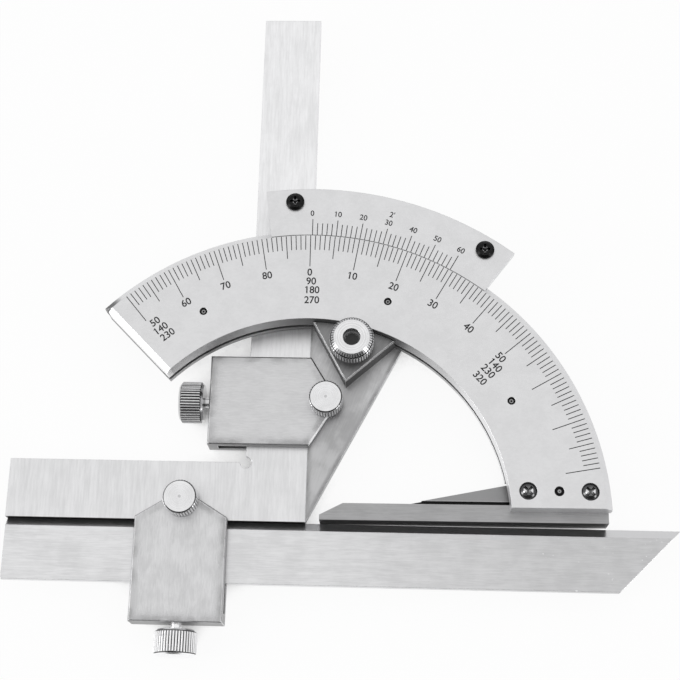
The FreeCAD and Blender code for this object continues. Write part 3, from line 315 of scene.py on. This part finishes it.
def turned_finish(name, centre, tone, rough, lie=None, spacing=0.22, bump=0.15, edge_width=0.12,
                  dark_share=0.8, edge_tone=0.95, hollow_shade_and_dirt_tone=0.05, middle=None, knurl=None, rays=None):
    """Turned steel with rings round its own axis, which stands up or lies along "x" or "y".

    middle is (radius, tone) of a pip or a hole; a hole's dark tone is painted shade. knurl is (root, crest):
    painted shade lies in the flutes between these radii. rays is (inner, outer, count): the flutes run on as
    dark lines of painted shade over a cone between these radii.
    """
    material, tree, shader, coordinates = new_finish(name)
    centred = add(tree, "VectorMath", {0: coordinates, 1: tuple(value * MM for value in centre)},
                  operation="SUBTRACT").outputs["Vector"]
    if lie:
        rotation = (0, math.radians(90), 0) if lie == "x" else (math.radians(90), 0, 0)
        centred = add(tree, "Mapping", {"Vector": centred, "Rotation": rotation}).outputs[0]
    marks = place_group(tree, TURNING, {"Vector": centred, "Spacing": spacing * MM})
    edges = place_group(tree, EDGES, {
        "Vector": coordinates, "Width": edge_width * MM, "Wear": 0.9, "Reach": 1.2 * MM})
    cloud = add(tree, "TexNoise", {"Vector": coordinates, "Scale": 350.0, "Detail": 4.0}).outputs["Fac"]
    share = between(tree, maths(tree, "ADD", marks["Rings"], maths(tree, "MULTIPLY", cloud, 0.5)), 0.5, 1.0)
    colour = blend(tree, share, tuple(value * dark_share for value in tone), tone)
    if middle:
        # A dark middle, as on the lock nut, is painted shade in its hole.
        inside = between(tree, marks["Radius"], (middle[0] + 0.25) * MM, middle[0] * MM)
        colour = blend(tree, inside, colour, grey(middle[1]))
    if knurl:
        root, crest = knurl
        low = between(tree, marks["Radius"], (crest - 0.08) * MM, (root + 0.02) * MM)
        outside = between(tree, marks["Radius"], (root - 0.22) * MM, (root - 0.12) * MM)
        # Painted shade in the knurl's flutes.
        colour = blend(tree, maths(tree, "MULTIPLY", low, outside), colour, grey(0.025))
    if rays:
        inner, outer, count = rays
        turns = maths(tree, "MULTIPLY", maths(tree, "SUBTRACT", scale_angle(tree, centred), READING), count)
        line = between(tree, maths(tree, "COSINE", turns), 0.1, 0.85)
        inside = between(tree, marks["Radius"], outer * MM, (outer - 0.1) * MM)
        line = maths(tree, "MULTIPLY", line, between(tree, marks["Radius"], inner * MM, (inner + 0.25) * MM))
        # Dark lines of painted shade where the flutes run over the cone.
        colour = blend(tree, maths(tree, "MULTIPLY", line, inside), colour, grey(0.06))
    roughness = maths(tree, "ADD", rough - 0.06, maths(tree, "MULTIPLY", share, 0.12))
    finish_surface(tree, shader, colour, roughness, marks["Rings"], bump, edges, edge_tone, hollow_shade_and_dirt_tone)
    return material


def screw_finish(name, centres, body_tone, glint_tone, glint_inner, glint_outer, quarters=False, rough=0.3):
    """Dark oiled screw or pin heads with a glint painted in a ring, or in two facing quarters of it.

    centres are the heads' places in millimetres. The ring lies between two radii round each of them,
    and only near the heads' tops.
    """
    material, tree, shader, coordinates = new_finish(name)
    edges = place_group(tree, EDGES, {
        "Vector": coordinates, "Width": 0.1 * MM, "Wear": 0.5, "Reach": 1.2 * MM})
    grain = add(tree, "TexNoise", {"Vector": coordinates, "Scale": 1500.0, "Detail": 3.0}).outputs["Fac"]
    glint = None
    for x, y in centres:
        own = add(tree, "VectorMath", {0: coordinates, 1: (x * MM, y * MM, 0)},
                  operation="SUBTRACT").outputs["Vector"]
        radius = flat_radius(tree, own)
        beyond_inner = between(tree, radius, glint_inner * MM, (glint_inner + 0.15) * MM)
        within_outer = between(tree, radius, glint_outer * MM, (glint_outer - 0.15) * MM)
        ring = maths(tree, "MULTIPLY", beyond_inner, within_outer)
        if quarters:
            doubled = maths(tree, "MULTIPLY", scale_angle(tree, own), 2.0)
            ring = maths(tree, "MULTIPLY", ring, between(tree, maths(tree, "COSINE", doubled), 0.0, -0.7))
        glint = ring if glint is None else maths(tree, "MAXIMUM", glint, ring)
    level = add(tree, "SeparateXYZ", {0: coordinates}).outputs["Z"]
    glint = maths(tree, "MULTIPLY", glint, between(tree, level, SCALE_FACE - 0.9 * MM, SCALE_FACE - 0.6 * MM))
    colour = blend(tree, grain, grey(body_tone * 0.7), grey(body_tone * 1.3))
    # Painted highlight: the glint ring on each head.
    colour = blend(tree, glint, colour, grey(glint_tone))
    finish_surface(tree, shader, colour, rough, grain, 0.1, edges, 0.3, 0.006)
    return material


def ink_finish():
    """Black paint wiped into the engraving, a little thin in places."""
    material, tree, shader, coordinates = new_finish("engraving_ink")
    thin = add(tree, "TexNoise", {"Vector": coordinates, "Scale": 2500.0, "Detail": 4.0}).outputs["Fac"]
    colour = blend(tree, between(tree, thin, 0.4, 0.75), (0.012, 0.012, 0.013), (0.05, 0.05, 0.052))
    tree.links.new(colour, shader.inputs["Base Color"])
    tree.links.new(between(tree, thin, 0.2, 0.8, 0.55, 0.8), shader.inputs["Roughness"])
    relief = add(tree, "Bump", {"Strength": 0.2, "Distance": 0.02 * MM, "Height": thin})
    tree.links.new(relief.outputs[0], shader.inputs["Normal"])
    return material


def dress(material, *names):
    """Give CAD nodes their finish."""
    for name in names:
        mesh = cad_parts[name].data
        mesh.materials.clear()
        mesh.materials.append(material)


# Finishes of the CAD nodes; the tones given to single faces follow the photo's light

def on_sector(x, y):
    """Point of the sector, in millimetres, turned to the reading."""
    sine, cosine = math.sin(READING), math.cos(READING)
    return x * cosine + y * sine, y * cosine - x * sine


def around(radius, angles, turn=0.0):
    """Places at one radius from the vertex and at several scale angles in degrees."""
    return [(radius * math.sin(math.radians(angle + turn)), radius * math.cos(math.radians(angle + turn)))
            for angle in angles]


# Places of the turned pieces and of the screws' heads, in millimetres
LOCK = (*around(53.55, [13.83], READING_DEGREES)[0], 0)
KNOB = (*around(91.2, [14.4], READING_DEGREES)[0], 0)
CLAMP_NUTS = {1: (*on_sector(5.3, 35.9), 0), 2: (*on_sector(-36.2, 5.3), 0)}
RULE_MIDDLE = 1.45
SIDE_SCREWS = {1: (0, on_sector(-30.0, 35.9)[1], RULE_MIDDLE),
               2: (on_sector(-36.2, -30.0)[0], 0, RULE_MIDDLE)}
VERNIER_SCREWS = around(97.0, (-3.3, 32.6), READING_DEGREES)
RING_SCREWS = around(69.0, (-27.3, 20.0, 60.0))
FOOT_SCREWS = [(64.0, 8.0), (81.6, 8.0)]
FOOT_DOWEL = [(72.8, 8.0)]


def scale_faces(tree, coordinates, colour):
    """Painted light and shade: the inner wall by its angle, a painted highlight on the bevel of the left end,
    painted shade on its outer corner, and a light painted tone on the wall of the foot.
    """
    # Painted light and shade on the inner wall, by its angle.
    tones = ((-44, 0.75), (-20, 0.56), (0, 0.15), (28, 0.24), (40, 0.55), (56, 0.88))
    colour = inner_wall(tree, coordinates, colour, ARC_INNER, tones)
    left_end, bevel_width, foot = -44.7, 1.6, 3.1
    end = add(tree, "SeparateXYZ", {0: turned_back(tree, coordinates, left_end)}).outputs["X"]
    # Painted highlight: the bevel at the left end is painted white.
    bevel = between(tree, end, (bevel_width + 0.15) * MM, bevel_width * MM)
    colour = blend(tree, bevel, colour, grey(1.0))
    # Painted shade on the outer corner near the left end.
    rim = between(tree, flat_radius(tree, coordinates), SCALE_LINES_OUTER * MM, VERNIER_LINES_INNER * MM)
    near_end = between(tree, scale_angle(tree, coordinates), math.radians(-40.5), math.radians(-43))
    colour = blend(tree, maths(tree, "MULTIPLY", rim, near_end), colour, grey(0.15))
    # The foot's front wall is painted a light tone, as painted light.
    return front_wall(tree, coordinates, colour, 0.0, foot, 0.8)


def vernier_faces(tree, coordinates, colour):
    """Painted shade: a dark inner wall over the scale's outer edge."""
    return inner_wall(tree, coordinates, colour, VERNIER_INNER, ((0, 0.12),))


def ring_faces(tree, coordinates, colour):
    """Painted light and shade on the inner wall by its angle, a little darker than the scale plate's above
    it.
    """
    tones = ((-44, 0.45), (-20, 0.38), (0, 0.09), (28, 0.15), (40, 0.45), (56, 0.80))
    return inner_wall(tree, coordinates, colour, ARC_INNER, tones)


def square_faces(tree, coordinates, colour):
    """Painted shade: a dark wall along the lower edge of the short arm."""
    return front_wall(tree, coordinates, colour, READING_DEGREES, 0.0, 0.03)


def base_faces(tree, coordinates, colour):
    """Ear behind the bar in a darker flat tone as painted shade, painted shade on the front wall, and painted
    shade filling the sunk groove between the bar and the ear.
    """
    bar_back, ear_front = 5.0 * MM, 6.9 * MM
    groove_bottom, groove_top = 1.6 * MM, 2.8 * MM
    place = add(tree, "SeparateXYZ", {0: coordinates})
    # The ear behind the bar gets a flat darker tone, painted as shade.
    ear = between(tree, place.outputs["Y"], ear_front, ear_front + 0.2 * MM)
    colour = blend(tree, ear, colour, grey(0.33))
    # Painted shade on the bar's front wall.
    colour = front_wall(tree, coordinates, colour, 0.0, 0.0, 0.1)
    below_top = between(tree, place.outputs["Z"], groove_top + 0.2 * MM, groove_top)
    above_bottom = between(tree, place.outputs["Z"], groove_bottom - 0.2 * MM, groove_bottom)
    behind_bar = between(tree, place.outputs["Y"], bar_back - 0.1 * MM, bar_back)
    before_ear = between(tree, place.outputs["Y"], ear_front, ear_front - 0.15 * MM)
    sunk = maths(tree, "MULTIPLY", below_top, above_bottom)
    groove = maths(tree, "MULTIPLY", sunk, maths(tree, "MULTIPLY", behind_bar, before_ear))
    # Painted shade: the groove's walls and bottom are painted near black.
    return blend(tree, groove, colour, grey(0.01))


def straightedge_faces(tree, coordinates, colour):
    """Painted highlight on the bevel along the measuring edge, and small scratch marks where the point does
    its work, worn and painted bright as glints.
    """
    place = add(tree, "SeparateXYZ", {0: turned_back(tree, coordinates, READING_DEGREES)})
    # Painted highlight on the bevel along the measuring edge.
    bevel = between(tree, place.outputs["Y"], -2.6 * MM, -2.4 * MM)
    colour = blend(tree, bevel, colour, grey(0.75))
    worked = between(tree, place.outputs["X"], 20 * MM, 95 * MM)
    dents = add(tree, "TexNoise", {"Vector": coordinates, "Scale": 900.0, "Detail": 2.0}).outputs["Fac"]
    # Scratch marks from wear, painted bright as glints.
    nick_glints = maths(tree, "MULTIPLY", worked, between(tree, dents, 0.71, 0.78))
    return blend(tree, nick_glints, colour, grey(0.95))


SATIN = dict(across=1100.0, along=800.0, bump=0.04, shares=(0.7, 0.1, 0.2))
dress(ground_finish("satin_chrome_arc", 0.735, 0.80, 0.42, extra=scale_faces, **SATIN), "main_scale_plate")
dress(ground_finish("satin_chrome_vernier", 0.74, 0.81, 0.42, extra=vernier_faces, **SATIN), "vernier_plate")
# Square: painted lighter towards the top of the arm, as painted light.
dress(ground_finish("ground_square", 0.72, 0.85, 0.33, turn=90.0, across=1500.0, along=150.0,
                    shares=(0.75, 0.15, 0.1), extra=square_faces, light_and_shade_fade=("Y", 12, 60, 1.0, 0.75)),
      "square")
# Straightedge: painted darker towards its right end, as painted shade.
dress(ground_finish("ground_straightedge", 0.68, 0.83, 0.33, shares=(0.72, 0.1, 0.18),
                    extra=straightedge_faces, light_and_shade_fade=("X", -20, 90, 0.55, 0.6)),
      "straightedge")
dress(ground_finish("ground_base_rule", 0.36, 0.46, 0.38, edge_width=0.1, wear=0.4, extra=base_faces),
      "base_rule")
# Sector: painted darker towards its top, as painted shade.
dress(ground_finish("ground_sector", 0.42, 0.58, 0.40, turn=70.0, shares=(0.5, 0.1, 0.4),
                    light_and_shade_fade=("Y", 28, 46, 0.8, 0.85), border=(2.5, 0.15)),
      "sector_plate")
dress(ground_finish("machined_ring", 0.20, 0.32, 0.40, edge_width=0.05, extra=ring_faces), "rack_ring")
dress(ground_finish("machined_carrier", 0.36, 0.52, 0.42), "vernier_carrier")
# Lock block: upright faces painted near black as shade.
dress(ground_finish("blued_lock_block", 0.22, 0.32, 0.42, turn=60.0, edge_width=0.15, wear=2.5, edge_tone=1.0,
                    extra=side_walls("lock_block", 0.05)),
      "lock_block")
# Clamp blocks: upright faces painted darker as shade, deep hollows painted dark as shade and dirt, oil stain
# near the edges.
CLAMP = dict(across=2200.0, along=350.0, bump=0.12, edge_width=0.35, wear=1.6, edge_tone=1.0,
             hollow_shade_and_dirt_tone=0.015, reach=4.0, border=(4.5, 0.22))
dress(ground_finish("milled_clamp_1", 0.62, 0.73, 0.38, extra=side_walls("clamp_block_1", 0.3), **CLAMP),
      "clamp_block_1")
dress(ground_finish("milled_clamp_2", 0.62, 0.77, 0.38, turn=90.0, shares=(0.7, 0.1, 0.2),
                    extra=side_walls("clamp_block_2", 0.3), **CLAMP),
      "clamp_block_2")
dress(ground_finish("milled_pads", 0.12, 0.2, 0.42), "pressure_pad_1", "pressure_pad_2")

BRIGHT = grey(0.92)
dress(turned_finish("turned_lock_nut", LOCK, BRIGHT, 0.2, middle=(2.4, 0.1), knurl=(6.27, 6.55),
                    rays=(5.3, 6.55, 47.0)),
      "lock_nut")
dress(turned_finish("turned_lock_collar", LOCK, grey(0.5), 0.32), "lock_collar")
for number, place in CLAMP_NUTS.items():
    dress(turned_finish(f"turned_clamp_nut_{number}", place, BRIGHT, 0.26, middle=(0.35, 0.6),
                        knurl=(4.72, 5.0)),
          f"clamp_nut_{number}")
    dress(turned_finish(f"turned_clamp_stud_{number}", place, grey(0.5), 0.35), f"clamp_stud_{number}")
dress(turned_finish("turned_lock_stud", LOCK, grey(0.05), 0.3), "lock_stud")
# The two side screws are alike: screw 1 is painted darker as shade, screw 2 brighter as painted light.
dress(turned_finish("turned_side_screw_1", SIDE_SCREWS[1], grey(0.72), 0.12, lie="x", knurl=(6.07, 6.25)),
      "side_screw_1")
dress(turned_finish("turned_side_screw_2", SIDE_SCREWS[2], grey(1.0), 0.2, lie="y", dark_share=0.95,
                    knurl=(5.99, 6.25)),
      "side_screw_2")
dress(turned_finish("turned_knob", KNOB, BRIGHT, 0.25, knurl=(6.72, 7.0)), "adjusting_knob")
dress(turned_finish("turned_pinion", KNOB, grey(0.45), 0.34), "pinion", "knob_screw")
dress(turned_finish("bronze_bush", KNOB, (0.60, 0.42, 0.20), 0.34), "pinion_bush")
dress(screw_finish("black_vernier_screws", VERNIER_SCREWS, 0.02, 0.4, 0.5, 0.9), "vernier_screws")
dress(screw_finish("black_ring_screws", RING_SCREWS, 0.012, 0.35, 0.25, 0.65), "rack_ring_screws")
dress(screw_finish("black_foot_dowel", FOOT_DOWEL, 0.012, 0.35, 0.1, 0.6), "base_dowel")
dress(screw_finish("dark_foot_screws", FOOT_SCREWS, 0.14, 0.8, 0.35, 1.5, quarters=True, rough=0.2),
      "base_screws")
dress(ground_finish("plain_fasteners", 0.28, 0.42, 0.36), "carrier_screws", "carrier_dowels")


# Engraving: thin closed boxes and letters that sit in the face with their tops just proud of it

INK = ink_finish()
INK_DEPTH = 0.08 * MM
INK_PROUD = 0.012 * MM
LINE_WIDTH = 0.25 * MM

# Faces of a box whose corners 0 to 3 go round its bottom and 4 to 7 round its top
BOX = np.array([[3, 2, 1, 0], [4, 5, 6, 7], [0, 1, 5, 4], [1, 2, 6, 5], [2, 3, 7, 6], [3, 0, 4, 7]])

# Lettering in the font's own unit; the flag's four corners lie left of the stem of a figure 1
LETTER_HALF_DEPTH = 0.02
LETTER_WEIGHT = 0.016
LETTER_NARROWING = 0.97
FIGURE_STEP = 0.5
FLAG = np.array([[0.21, 0.69], [0.07, 0.59], [0.07, 0.50], [0.21, 0.60]])


def inked_piece(name, vertices, faces, body):
    """Piece of paint on a body, from an array of vertices and the faces' rows of vertex numbers."""
    mesh = bpy.data.meshes.new(name)
    mesh.from_pydata(vertices.tolist(), [], [list(face) for face in faces])
    mesh.validate()
    mesh.materials.append(INK)
    piece = bpy.data.objects.new(name, mesh)
    bpy.context.scene.collection.objects.link(piece)
    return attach(piece, body)


def engrave_lines(name, angles, inner, outer, body, turn=0.0):
    """Radial lines as flat boxes.

    A corner lies at the radius times (sine, cosine) of the line's angle, half a line's width to
    one side along the tangent (cosine, minus sine), at the top or the bottom of the paint.
    """
    angles = np.radians(np.asarray(angles, float)) + turn
    outward = np.stack([np.sin(angles), np.cos(angles)], axis=1)
    tangent = np.stack([np.cos(angles), -np.sin(angles)], axis=1)
    radii = np.stack([inner, inner, outer, outer], axis=1) * MM
    sides = np.array([-0.5, 0.5, 0.5, -0.5]) * LINE_WIDTH
    flat = outward[:, None, :] * radii[:, :, None] + tangent[:, None, :] * sides[None, :, None]
    count = len(angles)
    vertices = np.empty((count, 8, 3))
    vertices[:, :4, :2] = flat
    vertices[:, 4:, :2] = flat
    vertices[:, :4, 2] = SCALE_FACE - INK_DEPTH
    vertices[:, 4:, 2] = SCALE_FACE + INK_PROUD
    faces = (BOX[None] + 8 * np.arange(count)[:, None, None]).reshape(-1, 4)
    return inked_piece(name, vertices.reshape(-1, 3), faces, body)


def letter_shape(text, align):
    """Text as (vertices, faces) with its middle or left end at the origin.

    Each figure 1 gets a small flag, a box over four corners to the left of its stem.
    """
    curve = bpy.data.curves.new("lettering", "FONT")
    curve.body = text
    curve.align_x = align
    curve.extrude = LETTER_HALF_DEPTH
    curve.bevel_depth = LETTER_WEIGHT
    curve.bevel_resolution = 0
    maker = bpy.data.objects.new("lettering", curve)
    bpy.context.scene.collection.objects.link(maker)
    bpy.context.view_layer.update()
    shape = bpy.data.meshes.new_from_object(maker.evaluated_get(bpy.context.evaluated_depsgraph_get()))
    points = np.empty(len(shape.vertices) * 3)
    shape.vertices.foreach_get("co", points)
    loops = [list(face.vertices) for face in shape.polygons]
    bpy.data.objects.remove(maker)
    bpy.data.meshes.remove(shape)
    bpy.data.curves.remove(curve)
    points = points.reshape(-1, 3)
    start = -len(text) * FIGURE_STEP / 2 if align == "CENTER" else 0.0
    for place, figure in enumerate(text):
        if figure == "1":
            outline = FLAG + (start + place * FIGURE_STEP, 0.0)
            loops += (BOX + len(points)).tolist()
            levels = (-LETTER_HALF_DEPTH, LETTER_HALF_DEPTH)
            points = np.concatenate([points, [(x, y, z) for z in levels for x, y in outline]])
    return points, loops


DIGIT = letter_shape("0", "LEFT")[0]
DIGIT_HEIGHT = DIGIT[:, 1].max() - DIGIT[:, 1].min()
DIGIT_MIDDLE = (DIGIT[:, 1].max() + DIGIT[:, 1].min()) / 2


def engrave_numbers(name, labels, body, turn=0.0):
    """Numbers standing upright to the radius.

    Each label is (text, angle, radius, shift, height, alignment); its letters are scaled to the height,
    shifted sideways, moved out to the radius and turned by minus the angle about Z.
    """
    all_points, all_faces, count = [], [], 0
    for text, angle, radius, shift, height, align in labels:
        points, faces = letter_shape(text, align)
        scale = height * MM / DIGIT_HEIGHT
        x = points[:, 0] * scale * LETTER_NARROWING + shift * MM
        y = (points[:, 1] - DIGIT_MIDDLE) * scale + radius * MM
        level = np.where(points[:, 2] > 0, SCALE_FACE + INK_PROUD, SCALE_FACE - INK_DEPTH)
        sine, cosine = math.sin(math.radians(angle) + turn), math.cos(math.radians(angle) + turn)
        placed = np.stack([x * cosine + y * sine, y * cosine - x * sine, level], axis=1)
        all_points.append(placed)
        all_faces += [[corner + count for corner in face] for face in faces]
        count += len(placed)
    return inked_piece(name, np.concatenate(all_points), all_faces, body)


# Every fifth degree has a longer line and every tenth the longest; the vernier's 30 steps span 29 degrees
VERNIER_STEP = 29 / 30
degrees = np.arange(-40, 81)
TEN_DEGREES_END, FIVE_DEGREES_END, ONE_DEGREE_END = 75.9, 78.6, 81.3
inner_ends = np.where(degrees % 10 == 0, TEN_DEGREES_END,
                      np.where(degrees % 5 == 0, FIVE_DEGREES_END, ONE_DEGREE_END))
outer_ends = np.full(len(degrees), SCALE_LINES_OUTER)
engrave_lines("main_scale_lines", degrees, inner_ends, outer_ends, "main_scale")

vernier_steps = np.arange(31)
FIVE_STEPS_END, ONE_STEP_END = 91.3, 90.0
vernier_ends = np.where(vernier_steps % 5 == 0, FIVE_STEPS_END, ONE_STEP_END)
vernier_starts = np.full(len(vernier_steps), VERNIER_LINES_INNER)
engrave_lines("vernier_lines", vernier_steps * VERNIER_STEP, vernier_starts, vernier_ends, "sector", READING)

# Rows are radii to the middle of the figures. A column is (angle, outward shift, alignment, its texts),
# and each text has a sideways shift of its own.
ROWS = (74.05, 71.2, 68.4, 65.2)
VERNIER_ROW, UNIT_ROW = 93.3, 96.1
SCALE_HEIGHT = 2.3
VERNIER_HEIGHT = 1.8
columns = [
    (-38.5, 0.0, "CENTER", (("50", 0.0), ("140", 0.1), ("230", 0.65))),
    (0.0, 0.0, "CENTER", (("0", 0.0), ("90", 0.5), ("180", 0.8), ("270", 0.8))),
    (48.75, 0.2, "LEFT", (("50", 0.1), ("140", 0.1), ("230", 0.1), ("320", 0.1))),
]
labels = [(str(value), value - 90, ROWS[0], 0.0, SCALE_HEIGHT, "CENTER") for value in (60, 70, 80)]
labels += [(str(value), value, ROWS[0], 0.0, SCALE_HEIGHT, "CENTER") for value in (10, 20, 30, 40)]
for angle, outward, align, texts in columns:
    labels += [(text, angle, radius + outward, shift, SCALE_HEIGHT, align)
               for (text, shift), radius in zip(texts, ROWS)]
engrave_numbers("main_scale_numbers", labels, "main_scale")

vernier_labels = [(str(value), value / 2 * VERNIER_STEP, VERNIER_ROW, -0.2, VERNIER_HEIGHT, "CENTER")
                  for value in range(0, 70, 10)]
vernier_labels.append(("2'", 14.6, UNIT_ROW, 0.0, VERNIER_HEIGHT, "CENTER"))
engrave_numbers("vernier_numbers", vernier_labels, "sector", READING)


# Floor, light and camera

def floor_finish():
    """Pale matt floor that shows as white but keeps the object's shadow."""
    material, tree, shader, coordinates = new_finish("pale_floor")
    speck = add(tree, "TexNoise", {"Vector": coordinates, "Scale": 60.0, "Detail": 3.0}).outputs["Fac"]
    colour = blend(tree, between(tree, speck, 0.3, 0.7), (0.93, 0.93, 0.93), (0.95, 0.95, 0.95))
    tree.links.new(colour, shader.inputs["Base Color"])
    shader.inputs["Roughness"].default_value = 0.9
    shader.inputs["Specular IOR Level"].default_value = 0.0
    path = add(tree, "LightPath")
    seen = maths(tree, "MAXIMUM", path.outputs["Is Camera Ray"], path.outputs["Is Glossy Ray"])
    seen = maths(tree, "MAXIMUM", seen, path.outputs["Is Transmission Ray"])
    white = add(tree, "Emission", {"Color": (1, 1, 1, 1), "Strength": 1.0})
    open_air = add(tree, "AmbientOcclusion", {"Distance": 14 * MM}, samples=8).outputs["AO"]
    seen = maths(tree, "MULTIPLY", seen, between(tree, open_air, 0.17, 0.32))
    share = maths(tree, "MULTIPLY", seen, 0.93)
    mixed = add(tree, "MixShader", {0: share, 1: shader.outputs[0], 2: white.outputs[0]})
    output = next(made for made in tree.nodes if made.type == "OUTPUT_MATERIAL")
    tree.links.new(mixed.outputs[0], output.inputs["Surface"])
    return material


FLOOR_HALF = 4.0
floor_corners = FLOOR_HALF * np.array([[-1, -1], [1, -1], [1, 1], [-1, 1]])
floor_points = np.concatenate([floor_corners, np.full((4, 1), cad_box[0].z)], axis=1)
floor_mesh = bpy.data.meshes.new("floor")
floor_mesh.from_pydata(floor_points.tolist(), [], [[0, 1, 2, 3]])
floor_mesh.materials.append(floor_finish())
floor = bpy.data.objects.new("floor", floor_mesh)
bpy.context.scene.collection.objects.link(floor)

world = bpy.data.worlds.new("studio")
bpy.context.scene.world = world
world.use_nodes = True
sky = world.node_tree
direction = add(sky, "SeparateXYZ", {0: add(sky, "TexCoord").outputs["Generated"]})
tone = blend(sky, between(sky, direction.outputs["Z"], 0.0, 0.75), (0.55, 0.55, 0.56), (0.95, 0.95, 0.95))
tone = blend(sky, between(sky, direction.outputs["Y"], -0.3, -0.8), tone, (0.12, 0.12, 0.12))
background = next(made for made in sky.nodes if made.type == "BACKGROUND")
sky.links.new(tone, background.inputs["Color"])
background.inputs["Strength"].default_value = 0.97

LIGHT_AIM = (0.0, 0.04, 0.0)


def softbox(name, place, width, height, power):
    """Rectangular lamp that faces the instrument."""
    lamp = bpy.data.lights.new(name, "AREA")
    lamp.shape = "RECTANGLE"
    lamp.size = width
    lamp.size_y = height
    lamp.energy = power
    holder = bpy.data.objects.new(name, lamp)
    holder.location = place
    gaze = np.array(LIGHT_AIM) - np.array(place)
    gaze /= np.linalg.norm(gaze)
    side = np.cross(gaze, (0.0, 1.0, 0.0))
    side /= np.linalg.norm(side)
    upward = np.cross(side, gaze)
    holder.rotation_mode = "QUATERNION"
    turned = np.stack([side, upward, -gaze], axis=1)
    holder.rotation_quaternion = Matrix(turned.tolist()).to_quaternion()
    bpy.context.scene.collection.objects.link(holder)


softbox("key", (-0.85, -0.15, 0.28), 0.6, 0.35, 2.3)
softbox("fill", (0.85, -0.45, 0.28), 0.5, 0.3, 1.6)

# The camera that meets the ends of the photo's degree lines
camera_data = bpy.data.cameras.new("camera")
camera_data.sensor_width = 36.0
camera_data.lens = 78.44
camera_data.shift_x = 0.0368
camera_data.shift_y = -0.0656
camera_data.clip_start = 0.01
camera = bpy.data.objects.new("camera", camera_data)
camera.location = (0.02524, -0.08158, 0.43168)
camera.rotation_euler = tuple(math.radians(angle) for angle in (19.5372, 2.7225, 1.3834))
bpy.context.scene.collection.objects.link(camera)
bpy.context.scene.camera = camera
bpy.context.scene.view_settings.view_transform = "Standard"
